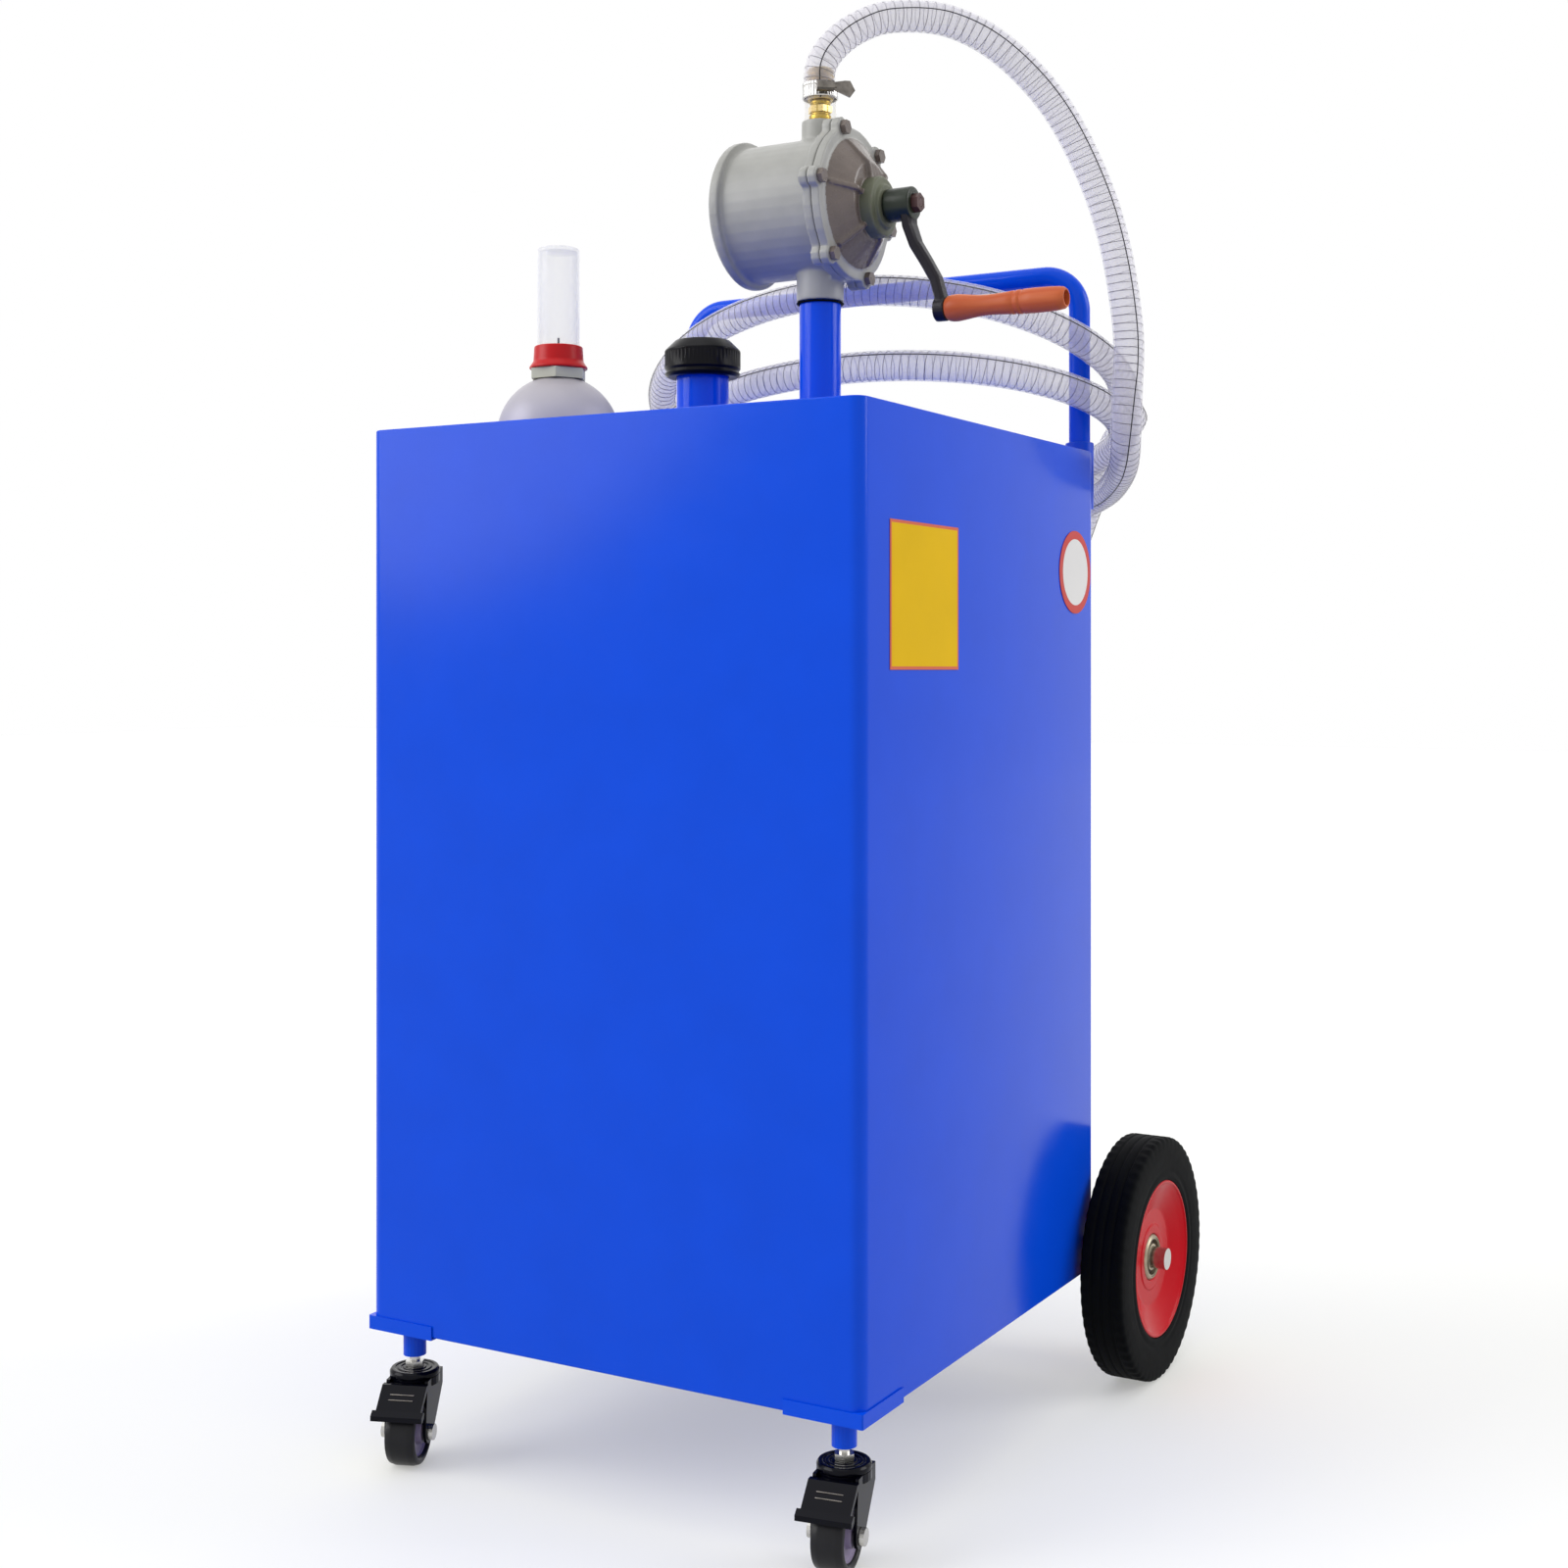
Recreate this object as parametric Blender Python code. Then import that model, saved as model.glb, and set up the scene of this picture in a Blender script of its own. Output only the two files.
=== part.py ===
"""Fuel caddy: a sheet-metal tank on two casters and two large wheels, with a hand-cranked pump.

Metres, +Z up. The front faces -Y. The pieces are laid out about the middle of the tank, and the
whole is then moved so that the origin is on the floor, under the middle of its bounding box.
"""

import math

import bmesh
import bpy
from mathutils import Matrix, Vector

# Clearances shared by every fit
GAP = 0.0003
OVERRUN = 0.004
BEVEL_ARC_STEPS = 5
TANK_SET_FORWARD = 0.0634

# Tank
TANK_WIDTH = 0.424
TANK_DEPTH = 0.424
TANK_HEIGHT = 0.6855
TANK_CLEARANCE = 0.1025
TANK_CORNER_RADIUS = 0.010
WRAP_SHEET = 0.0015
END_SHEET = 0.002
TANK_TOP = TANK_CLEARANCE + TANK_HEIGHT
SIDE_FACE = TANK_WIDTH / 2
REAR_FACE = TANK_DEPTH / 2

# Filler neck and cap
FILLER_X_SHARE, FILLER_Y_SHARE = -0.165, 0.0945
FILLER_X = FILLER_X_SHARE * TANK_WIDTH
FILLER_Y = FILLER_Y_SHARE * TANK_DEPTH
NECK_RADIUS = 0.022
NECK_WALL = 0.002
NECK_RISE = 0.088
NECK_DEPTH_INSIDE = 0.010
NECK_COLLAR_RADIUS = 0.027
NECK_COLLAR_HEIGHT = 0.003
CAP_RADIUS = 0.032
CAP_HEIGHT = 0.031
CAP_TOP_SHEET = 0.004
CAP_CHAMFER = 0.009
CAP_LIP = 0.003
CAP_GRIPS = 20
CAP_GRIP_DEPTH = 0.0012
CAP_TOP = TANK_TOP + NECK_RISE + CAP_TOP_SHEET + GAP

# Float gauge
GAUGE_X_SHARE, GAUGE_Y_SHARE = -0.275, -0.236
GAUGE_X = GAUGE_X_SHARE * TANK_WIDTH
GAUGE_Y = GAUGE_Y_SHARE * TANK_DEPTH
DOME_RADIUS = 0.0485
DOME_WALL = 0.002
DOME_OPENING_RADIUS = 0.018
GAUGE_NUT_FLATS = 0.040
GAUGE_NUT_HEIGHT = 0.008
GAUGE_HOLE_RADIUS = 0.004
COLLAR_TOP_RADIUS = 0.0188
COLLAR_FLARE_RADIUS = 0.0230
COLLAR_HEIGHT = 0.018
COLLAR_FLARE_HEIGHT = 0.006
SIGHT_RADIUS = 0.0168
SIGHT_WALL = 0.0015
SIGHT_RISE = 0.0775
ROD_RADIUS = 0.0009
ROD_TIP_RISE = 0.0070
FLOAT_RADIUS = 0.024
FLOAT_HEIGHT = 0.040
FLOAT_DEPTH = 0.085

# Pump on its riser pipe
PUMP_X = 0.0507
PUMP_Y = 0.025
PUMP_AXIS_RISE = 0.182
PUMP_Z = TANK_TOP + PUMP_AXIS_RISE
CASE_OFFSET = 0.005
CASE_Z = PUMP_Z + CASE_OFFSET
RISER_RADIUS = 0.0167
RISER_WALL = 0.0028
RISER_COLLAR_RADIUS = 0.0235
RISER_COLLAR_HEIGHT = 0.010
DIP_CLEARANCE = 0.012
CASE_RADIUS = 0.0545
CASE_RIM_RADIUS = 0.0595
CASE_RIM_WIDTH = 0.010
CASE_REAR = 0.0710
CASE_FRONT = 0.0240
FLANGE_RADIUS = 0.0600
FLANGE_THICK = 0.0075
LUG_CIRCLE = 0.0600
LUG_RADIUS = 0.0085
LUG_COUNT = 6
LUG_FIRST_ANGLE = math.radians(170)
LUG_BOLT_RADIUS = 0.0028
BOLT_HEAD_RADIUS = 0.0058
BOLT_HEAD_HEIGHT = 0.0045
INLET_RADIUS = 0.0190
INLET_LENGTH = 0.0760
INLET_SOCKET_DEPTH = 0.0130
OUTLET_RADIUS = 0.0150
OUTLET_LENGTH = 0.0690
COVER_CONE_RADIUS = 0.0520
COVER_DEPTH = 0.0155
BOSS_RADIUS = 0.0235
BOSS_DEPTH = 0.0260
BOSS_NOSE_RADIUS = 0.0170
BOSS_NOSE_DEPTH = 0.0030
RIB_THICK = 0.0040
RIB_RISE = 0.0035

# Crank
SHAFT_RADIUS = 0.0070
SHAFT_SEAT = 0.0200
SHAFT_THREAD_RADIUS = 0.0035
CRANK_HUB_RADIUS = 0.0128
CRANK_HUB_GAP = 0.0010
CRANK_HUB_LENGTH = 0.0220
CRANK_LENGTH = 0.0840
CRANK_REST_ANGLE = math.radians(6)
CRANK_OFFSET = 0.0255
CRANK_ARM_START_SHARE = 0.75
CRANK_ARM_WIDTH_SHARE = 0.80
CRANK_EYE_RADIUS = 0.0095
CRANK_EYE_LENGTH = 0.0090
CRANK_NUT_FLATS = 0.0130
CRANK_NUT_HEIGHT = 0.0055
GRIP_LENGTH = 0.0990
GRIP_PIN_RADIUS = 0.0040
GRIP_HEAD_RADIUS = 0.0055
GRIP_HEAD_LENGTH = 0.0030
GRIP_RADIUS = 0.0105
GRIP_RECESS_RADIUS = 0.0060
GRIP_RECESS_DEPTH = 0.0200

# Outlet fitting and hose clamp
BARB_HEX_FLATS = 0.0180
BARB_HEX_HEIGHT = 0.0125
BARB_NECK_RADIUS = 0.0085
BARB_NECK_HEIGHT = 0.0040
CLAMP_WIDTH = 0.0120
CLAMP_SHEET = 0.0012
CLAMP_HOUSING_RADIUS = 0.0045
CLAMP_HOUSING_LENGTH = 0.0140
CLAMP_SCREW_RADIUS = 0.0022
CLAMP_KEY_THICK = 0.0022
CLAMP_KEY_LENGTH = 0.0130
CLAMP_KEY_ROOT = 0.0060
CLAMP_KEY_SPAN = 0.0170
CLAMP_KEY_SLANT = 0.0040
CLAMP_HEADING = math.radians(40)

# Hose
HOSE_DIAMETER = 0.026
HOSE_RADIUS = HOSE_DIAMETER / 2
COIL_LOOP_POINTS = 24
COIL_FIRST_STEP = 5
COIL_LAST_STEP = 49
COIL_HALF_WIDTH = 0.2215
COIL_HALF_DEPTH = 0.140
COIL_CENTRE_X = -0.001
COIL_CENTRE_Y = 0.240
COIL_START_HEIGHT = 0.779
COIL_PITCH = 0.038
COIL_REAR_DROP = 0.044
COIL_FRONT_TURN = 0.75
COIL_FRONT_LIFT = 0.0485
COIL_FRONT_LIFT_GAIN = 0.027
COIL_SIDE_LIFT = 0.004
ROUTE_SPACING = 2 * HOSE_DIAMETER
ARC_ROUTE = [
    (0.0590, 0.0320, 1.1060),
    (0.0740, 0.0460, 1.1225),
    (0.0950, 0.0650, 1.1330),
    (0.1300, 0.0970, 1.1330),
    (0.1650, 0.1290, 1.1120),
    (0.1990, 0.1590, 1.0680),
    (0.2240, 0.1820, 1.0080),
    (0.2380, 0.1950, 0.9500),
    (0.2455, 0.2020, 0.8850),
    (0.2450, 0.2010, 0.8350),
    (0.2424, 0.2050, 0.8017),
    (0.2339, 0.2250, 0.7835),
    (0.2211, 0.2500, 0.7732),
    (0.1915, 0.3000, 0.7635),
    (0.1580, 0.3350, 0.7560),
]
TAIL_ROUTE = [
    (0.1780, 0.3520, 0.8130),
    (0.1550, 0.3770, 0.7850),
    (0.1300, 0.3950, 0.7450),
    (0.1080, 0.4020, 0.6900),
    (0.0950, 0.4020, 0.6250),
    (0.0880, 0.3980, 0.5600),
]
TAIL_END = (0.0850, 0.3940, 0.4900)

# Discharge spout on the hose's free end
SPOUT_RADIUS = 0.0095
SPOUT_SLEEVE_RADIUS = 0.0125
SPOUT_SLEEVE_LENGTH = 0.0300
SPOUT_LENGTH = 0.1150
SPOUT_WALL = 0.0020
SPOUT_BEND_ANGLE = math.radians(40)
SPOUT_POINTS = 6

# Push handle
HANDLE_TUBE_RADIUS = 0.009
HANDLE_SPAN = 0.3872
HANDLE_TOP_RISE = 0.154
HANDLE_BEND_RADIUS = 0.032
HANDLE_BEND_POINTS = 8
SOCKET_RADIUS = 0.012
SOCKET_HEIGHT = 0.057
SOCKET_TOP_RISE = 0.010
SOCKET_FLOOR = 0.004

# Corner plates and caster posts
CORNER_PLATE = 0.060
CORNER_PLATE_THICK = 0.0015
CORNER_OVERHANG = 0.0012
CORNER_RIM_RISE = 0.0088
CORNER_CHAMFER = 0.001
POST_X_INSET = 0.025
POST_Y_INSET = 0.022
POST_RADIUS = 0.0088
POST_BOTTOM = 0.0790

# Casters
CASTER_HEADINGS = {"left": math.radians(21), "right": math.radians(9)}
CASTER_WHEEL_RADIUS = 0.025
CASTER_WHEEL_WIDTH = 0.024
CASTER_SHOULDER_SHARE = 0.8
CASTER_CROWN_SHARE = 0.94
CASTER_HUB_SHARE = 0.36
CASTER_DISH_SHARE = 0.7
CASTER_TRAIL = 0.014
RACE_RADIUS = 0.0190
RACE_HEIGHT = 0.0050
RACE_LIP = 0.0030
RACE_FLAT_SHARE = 0.90
FORK_SHEET = 0.0025
FORK_WIDTH = 0.0330
FORK_REACH_SHARE = 0.92
FORK_CROWN_HEIGHT = 0.0060
FORK_WHEEL_CLEARANCE = 0.0081
STUD_RADIUS = 0.0040
CASTER_NUT_FLATS = 0.0130
CASTER_NUT_HEIGHT = 0.0045
CASTER_AXLE_RADIUS = 0.0030
CASTER_AXLE_HEAD = 0.0060
CASTER_AXLE_HEAD_LENGTH = 0.0035
BRAKE_WIDTH = 0.0350
BRAKE_LIP_WIDTH = 0.0400
BRAKE_SHEET = 0.0024
BRAKE_PIVOT_RADIUS = 0.0022
BRAKE_REACH = 0.0165
BRAKE_DROP = 0.0143
BRAKE_LIP_REACH = 0.0055
BRAKE_LIP_DROP = 0.0020
BRAKE_LIP_DEPTH = 0.0045

# Rear wheels
WHEEL_RADIUS = 0.1016
TYRE_WIDTH = 0.038
TYRE_GAP_TO_TANK = 0.0050
RIM_RADIUS = 0.0655
TREAD_DEPTH = 0.0022
TREAD_BLOCKS = 32
RIM_SHEET = 0.0030
HUB_RADIUS = 0.0190
BEARING_LENGTH = 0.0200
AXLE_RADIUS = 0.0090
AXLE_BEHIND_TANK = 0.051
AXLE_END_SHOW = 0.0123
BRACKET_SHEET = 0.005
BRACKET_INSET = 0.019
BRACKET_HEIGHT = 0.085
BRACKET_EYE_RADIUS = 0.020

# Stickers
STICKER_THICK = 0.0005
PANEL_STICKER_WIDTH = 0.110
PANEL_STICKER_HEIGHT = 0.103
PANEL_STICKER_Y = -0.1165
PANEL_STICKER_DROP = 0.1315
ROUND_STICKER_RADIUS = 0.034
ROUND_STICKER_Y = 0.167
ROUND_STICKER_DROP = 0.103


def clear_scene():
    for item in list(bpy.data.objects):
        bpy.data.objects.remove(item, do_unlink=True)


def make_material(name, colour, roughness, metallic):
    material = bpy.data.materials.new(name)
    material.use_nodes = True
    shader = material.node_tree.nodes["Principled BSDF"]
    shader.inputs["Base Color"].default_value = (*colour, 1)
    shader.inputs["Roughness"].default_value = roughness
    shader.inputs["Metallic"].default_value = metallic
    return material


def make_materials():
    looks = {
        "blue_paint": ((0.02, 0.10, 0.80), 0.35, 0.0),
        "blue_paint_dark": ((0.02, 0.08, 0.62), 0.35, 0.0),
        "black_plastic": ((0.02, 0.02, 0.022), 0.5, 0.0),
        "silver_paint": ((0.62, 0.61, 0.64), 0.45, 0.4),
        "beige_plastic": ((0.62, 0.62, 0.50), 0.5, 0.0),
        "red_plastic": ((0.72, 0.02, 0.03), 0.4, 0.0),
        "clear_plastic": ((0.90, 0.91, 0.93), 0.1, 0.0),
        "grey_casting": ((0.38, 0.39, 0.38), 0.5, 0.3),
        "green_grey_casting": ((0.22, 0.24, 0.20), 0.5, 0.3),
        "steel": ((0.70, 0.70, 0.68), 0.3, 1.0),
        "dark_steel": ((0.05, 0.05, 0.06), 0.4, 0.8),
        "brass": ((0.80, 0.58, 0.22), 0.3, 1.0),
        "orange_wood": ((0.72, 0.20, 0.06), 0.55, 0.0),
        "hose_vinyl": ((0.86, 0.84, 0.88), 0.3, 0.0),
        "black_rubber": ((0.015, 0.015, 0.014), 0.8, 0.0),
        "red_paint": ((0.75, 0.01, 0.03), 0.35, 0.0),
        "yellow_film": ((0.90, 0.68, 0.10), 0.4, 0.0),
        "white_film": ((0.90, 0.90, 0.90), 0.4, 0.0),
        "grey_rubber": ((0.06, 0.055, 0.065), 0.7, 0.0),
    }
    return {name: make_material(name, *look) for name, look in looks.items()}


def finish_mesh(name, mesh_builder, material, smooth_angle=math.radians(35)):
    """Turns a bmesh into a named object with outward faces and its material."""
    bmesh.ops.recalc_face_normals(mesh_builder, faces=mesh_builder.faces)
    mesh = bpy.data.meshes.new(name)
    mesh_builder.to_mesh(mesh)
    mesh_builder.free()
    mesh.shade_smooth()
    mesh.set_sharp_from_angle(angle=smooth_angle)
    if material:
        mesh.materials.append(material)
    item = bpy.data.objects.new(name, mesh)
    bpy.context.collection.objects.link(item)
    return item


def add_empty(name, location, heading=0, parent=None):
    empty = bpy.data.objects.new(name, None)
    empty.location = location
    empty.rotation_euler = (0, 0, heading)
    empty.parent = parent
    bpy.context.collection.objects.link(empty)
    return empty


def place(item, location, rotation=(0, 0, 0), parent=None):
    item.location = location
    item.rotation_euler = rotation
    item.parent = parent
    return item


def circle_points(radius, count, centre=(0, 0), first_angle=0):
    return [
        (
            centre[0] + radius * math.cos(first_angle + math.tau * k / count),
            centre[1] + radius * math.sin(first_angle + math.tau * k / count),
        )
        for k in range(count)
    ]


def arc_points(centre, radius, start, end, steps):
    return [
        (
            centre[0] + radius * math.cos(start + (end - start) * k / steps),
            centre[1] + radius * math.sin(start + (end - start) * k / steps),
        )
        for k in range(steps + 1)
    ]


def rounded_rectangle(width, depth, radius):
    """Outline of a rectangle about the origin, its corners rounded, anticlockwise."""
    x, y = width / 2 - radius, depth / 2 - radius
    quarter = math.pi / 2
    outline = []
    for k, (cx, cy) in enumerate([(x, y), (-x, y), (-x, -y), (x, -y)]):
        outline += arc_points((cx, cy), radius, k * quarter, (k + 1) * quarter, BEVEL_ARC_STEPS)
    return outline


def lathe_mesh(outline, sides):
    """Solid of revolution about Z from (radius, height) points.

    An outline that starts and ends on the axis is open; any other closes on itself.
    """
    builder = bmesh.new()
    rings = []
    for radius, height in outline:
        if radius == 0:
            rings.append([builder.verts.new((0, 0, height))])
        else:
            ring = [builder.verts.new((x, y, height)) for x, y in circle_points(radius, sides)]
            rings.append(ring)
    pairs = list(zip(rings, rings[1:]))
    if outline[0][0] > 0:
        pairs.append((rings[-1], rings[0]))
    for lower, upper in pairs:
        for k in range(sides):
            n = (k + 1) % sides
            corners = [lower[k % len(lower)], lower[n % len(lower)]]
            corners += [upper[n % len(upper)], upper[k % len(upper)]]
            distinct = list(dict.fromkeys(corners))
            builder.faces.new(distinct)
    return builder


def turned(name, outline, sides, material):
    return finish_mesh(name, lathe_mesh(outline, sides), material)


def prism_mesh(outline, bottom, top, builder=None):
    builder = builder or bmesh.new()
    lower = [builder.verts.new((x, y, bottom)) for x, y in outline]
    upper = [builder.verts.new((x, y, top)) for x, y in outline]
    builder.faces.new(lower)
    builder.faces.new(upper)
    for k in range(len(outline)):
        n = (k + 1) % len(outline)
        builder.faces.new([lower[k], lower[n], upper[n], upper[k]])
    return builder


def prism(name, outline, bottom, top, material):
    return finish_mesh(name, prism_mesh(outline, bottom, top), material)


def hexagon(flats):
    return circle_points(flats / math.sqrt(3), 6)


def cylinder_outline(radius, bottom, top):
    return [(0, bottom), (radius, bottom), (radius, top), (0, top)]


def tube_outline(inner, outer, bottom, top):
    return [(inner, bottom), (outer, bottom), (outer, top), (inner, top)]


def add_boolean(item, operand, operation):
    """Joins or cuts with another object, which is then only a guide."""
    modifier = item.modifiers.new(operand.name, "BOOLEAN")
    modifier.operation = operation
    modifier.solver = "EXACT"
    modifier.object = operand
    operand.hide_render = True
    operand.display_type = "WIRE"
    return item


def drill(item, name, radius, bottom, top, location, rotation=(0, 0, 0), sides=24):
    cutter = turned(name, cylinder_outline(radius, bottom, top), sides, None)
    place(cutter, location, rotation)
    return add_boolean(item, cutter, "DIFFERENCE")


def sweep_mesh(frames, section):
    """Skins a section, given as (side, out) pairs, along (origin, side, out, scale) frames."""
    builder = bmesh.new()
    rings = []
    for origin, side, out, scale in frames:
        points = [origin + side * (a * scale[0]) + out * (b * scale[1]) for a, b in section]
        rings.append([builder.verts.new(point) for point in points])
    for lower, upper in zip(rings, rings[1:]):
        for k in range(len(section)):
            n = (k + 1) % len(section)
            builder.faces.new([lower[k], lower[n], upper[n], upper[k]])
    builder.faces.new(rings[0])
    builder.faces.new(rings[-1])
    return builder


def tube_curve(name, points, radius, resolution, material):
    """A solid tube along points, its ends closed."""
    curve = bpy.data.curves.new(name, "CURVE")
    curve.dimensions = "3D"
    curve.bevel_depth = radius
    curve.bevel_resolution = resolution
    curve.use_fill_caps = True
    spline = curve.splines.new("POLY")
    spline.points.add(len(points) - 1)
    for slot, point in zip(spline.points, points):
        slot.co = (*point, 1)
    curve.materials.append(material)
    item = bpy.data.objects.new(name, curve)
    bpy.context.collection.objects.link(item)
    return item


def smooth_route(knots, spacing):
    """Points at an even spacing on a smooth curve through the knots."""
    knots = [Vector(p) for p in knots]
    padded = [2 * knots[0] - knots[1], *knots, 2 * knots[-1] - knots[-2]]
    fine = []
    steps = 40
    for a, b, c, d in zip(padded, padded[1:], padded[2:], padded[3:]):
        for k in range(steps):
            t = k / steps
            bend = 2 * b + (c - a) * t + (2 * a - 5 * b + 4 * c - d) * t**2
            fine.append((bend + (3 * b - a - 3 * c + d) * t**3) / 2)
    fine.append(knots[-1])
    lengths = [0]
    for p, q in zip(fine, fine[1:]):
        lengths.append(lengths[-1] + (q - p).length)
    count = max(2, round(lengths[-1] / spacing))
    points, k = [], 0
    for step in range(count + 1):
        target = lengths[-1] * step / count
        while k < len(lengths) - 2 and lengths[k + 1] < target:
            k += 1
        share = (target - lengths[k]) / (lengths[k + 1] - lengths[k])
        points.append(fine[k].lerp(fine[k + 1], share))
    return points


def build_tank(looks):
    outer = rounded_rectangle(TANK_WIDTH, TANK_DEPTH, TANK_CORNER_RADIUS)
    inner = rounded_rectangle(
        TANK_WIDTH - 2 * WRAP_SHEET,
        TANK_DEPTH - 2 * WRAP_SHEET,
        TANK_CORNER_RADIUS - WRAP_SHEET,
    )
    builder = bmesh.new()
    loops = [
        [builder.verts.new((x, y, z)) for x, y in outline]
        for outline, z in (
            (outer, TANK_CLEARANCE),
            (outer, TANK_TOP),
            (inner, TANK_TOP),
            (inner, TANK_CLEARANCE),
        )
    ]
    for lower, upper in zip(loops, loops[1:] + loops[:1]):
        for k in range(len(outer)):
            n = (k + 1) % len(outer)
            builder.faces.new([lower[k], lower[n], upper[n], upper[k]])
    finish_mesh("tank_wrap", builder, looks["blue_paint"])

    inset = 2 * (WRAP_SHEET + GAP)
    plate = rounded_rectangle(
        TANK_WIDTH - inset, TANK_DEPTH - inset, TANK_CORNER_RADIUS - WRAP_SHEET - GAP
    )
    prism(
        "tank_bottom", plate, TANK_CLEARANCE, TANK_CLEARANCE + END_SHEET, looks["blue_paint_dark"]
    )
    top = prism("tank_top", plate, TANK_TOP - END_SHEET, TANK_TOP, looks["blue_paint"])
    holes = (
        ("filler_hole", NECK_RADIUS + GAP, FILLER_X, FILLER_Y),
        ("riser_hole", RISER_RADIUS + GAP, PUMP_X, PUMP_Y),
        ("gauge_hole", GAUGE_HOLE_RADIUS, GAUGE_X, GAUGE_Y),
    )
    for name, radius, x, y in holes:
        drill(top, name, radius, -OVERRUN, OVERRUN, (x, y, TANK_TOP))


def build_filler(looks):
    """The neck is welded through the top plate; the cap turns a quarter turn on it."""
    bore = NECK_RADIUS - NECK_WALL
    neck = [
        (bore, -NECK_DEPTH_INSIDE),
        (NECK_RADIUS, -NECK_DEPTH_INSIDE),
        (NECK_RADIUS, GAP),
        (NECK_COLLAR_RADIUS, GAP),
        (NECK_COLLAR_RADIUS, NECK_COLLAR_HEIGHT),
        (NECK_RADIUS, NECK_COLLAR_HEIGHT + NECK_WALL),
        (NECK_RADIUS, NECK_RISE),
        (bore, NECK_RISE),
    ]
    item = turned("filler_neck", neck, 28, looks["blue_paint"])
    place(item, (FILLER_X, FILLER_Y, TANK_TOP))

    inside = NECK_RADIUS + GAP
    ceiling = -CAP_TOP_SHEET
    outline = [
        (0, 0),
        (CAP_RADIUS - CAP_CHAMFER, 0),
        (CAP_RADIUS, -CAP_CHAMFER),
        (CAP_RADIUS, CAP_LIP - CAP_HEIGHT),
        (CAP_RADIUS - CAP_LIP, -CAP_HEIGHT),
        (inside, -CAP_HEIGHT),
        (inside, ceiling),
        (0, ceiling),
    ]
    cap = turned("filler_cap", outline, 2 * CAP_GRIPS, looks["black_plastic"])
    flute_reach = CAP_RADIUS + CAP_GRIP_DEPTH
    flutes = bmesh.new()
    for k in range(CAP_GRIPS):
        centre = circle_points(flute_reach, CAP_GRIPS, first_angle=math.pi / CAP_GRIPS)[k]
        flute = circle_points(2 * CAP_GRIP_DEPTH, 6, centre)
        prism_mesh(flute, CAP_LIP - CAP_HEIGHT - OVERRUN, -CAP_CHAMFER, flutes)
    cutter = finish_mesh("cap_flutes", flutes, None)
    pivot = add_empty("filler_cap_axis", (FILLER_X, FILLER_Y, CAP_TOP))
    place(cutter, (0, 0, 0), parent=pivot)
    place(cap, (0, 0, 0), parent=pivot)
    add_boolean(cap, cutter, "DIFFERENCE")


def build_gauge(looks):
    """Dome on the tank top, sight tube above it, and a float whose rod shows in the tube."""
    base = TANK_TOP + GAP
    top_angle = math.acos(DOME_OPENING_RADIUS / DOME_RADIUS)
    inner_radius = DOME_RADIUS - DOME_WALL
    inner_angle = math.acos(DOME_OPENING_RADIUS / inner_radius)
    steps = 7
    outline = arc_points((0, 0), DOME_RADIUS, 0, top_angle, steps)
    outline += arc_points((0, 0), inner_radius, inner_angle, 0, steps)
    dome = turned("gauge_dome", outline, 28, looks["silver_paint"])
    place(dome, (GAUGE_X, GAUGE_Y, base))

    nut_base = base + DOME_RADIUS * math.sin(top_angle) + GAP
    nut = prism("gauge_nut", hexagon(GAUGE_NUT_FLATS), 0, GAUGE_NUT_HEIGHT, looks["beige_plastic"])
    place(nut, (GAUGE_X, GAUGE_Y, nut_base))
    drill(
        nut, "gauge_nut_bore", ROD_RADIUS + GAP, -OVERRUN, GAUGE_NUT_HEIGHT + OVERRUN,
        (GAUGE_X, GAUGE_Y, nut_base), sides=16,
    )

    collar_base = nut_base + GAUGE_NUT_HEIGHT + GAP
    bore = SIGHT_RADIUS + GAP
    outline = [
        (bore, 0),
        (COLLAR_FLARE_RADIUS, 0),
        (COLLAR_TOP_RADIUS + WRAP_SHEET, COLLAR_FLARE_HEIGHT),
        (COLLAR_TOP_RADIUS, COLLAR_HEIGHT),
        (bore, COLLAR_HEIGHT),
    ]
    collar = turned("gauge_collar", outline, 36, looks["red_plastic"])
    place(collar, (GAUGE_X, GAUGE_Y, collar_base))

    wall_radius = SIGHT_RADIUS - SIGHT_WALL
    crown = COLLAR_HEIGHT + SIGHT_RISE
    outline = [
        (0, crown),
        (SIGHT_RADIUS - SIGHT_WALL, crown),
        (SIGHT_RADIUS, crown - SIGHT_WALL),
        (SIGHT_RADIUS, 0),
        (wall_radius, 0),
        (wall_radius, crown - 2 * SIGHT_WALL),
        (0, crown - 2 * SIGHT_WALL),
    ]
    tube = turned("sight_tube", outline, 32, looks["clear_plastic"])
    place(tube, (GAUGE_X, GAUGE_Y, collar_base))

    tip = collar_base + COLLAR_HEIGHT + ROD_TIP_RISE - TANK_TOP
    outline = [
        (0, -FLOAT_DEPTH - FLOAT_HEIGHT),
        (FLOAT_RADIUS, -FLOAT_DEPTH - FLOAT_HEIGHT),
        (FLOAT_RADIUS, -FLOAT_DEPTH),
        (ROD_RADIUS, -FLOAT_DEPTH),
        (ROD_RADIUS, tip),
        (0, tip),
    ]
    float_axis = add_empty("gauge_float_axis", (GAUGE_X, GAUGE_Y, TANK_TOP))
    place(turned("gauge_float", outline, 16, looks["dark_steel"]), (0, 0, 0), parent=float_axis)


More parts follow.
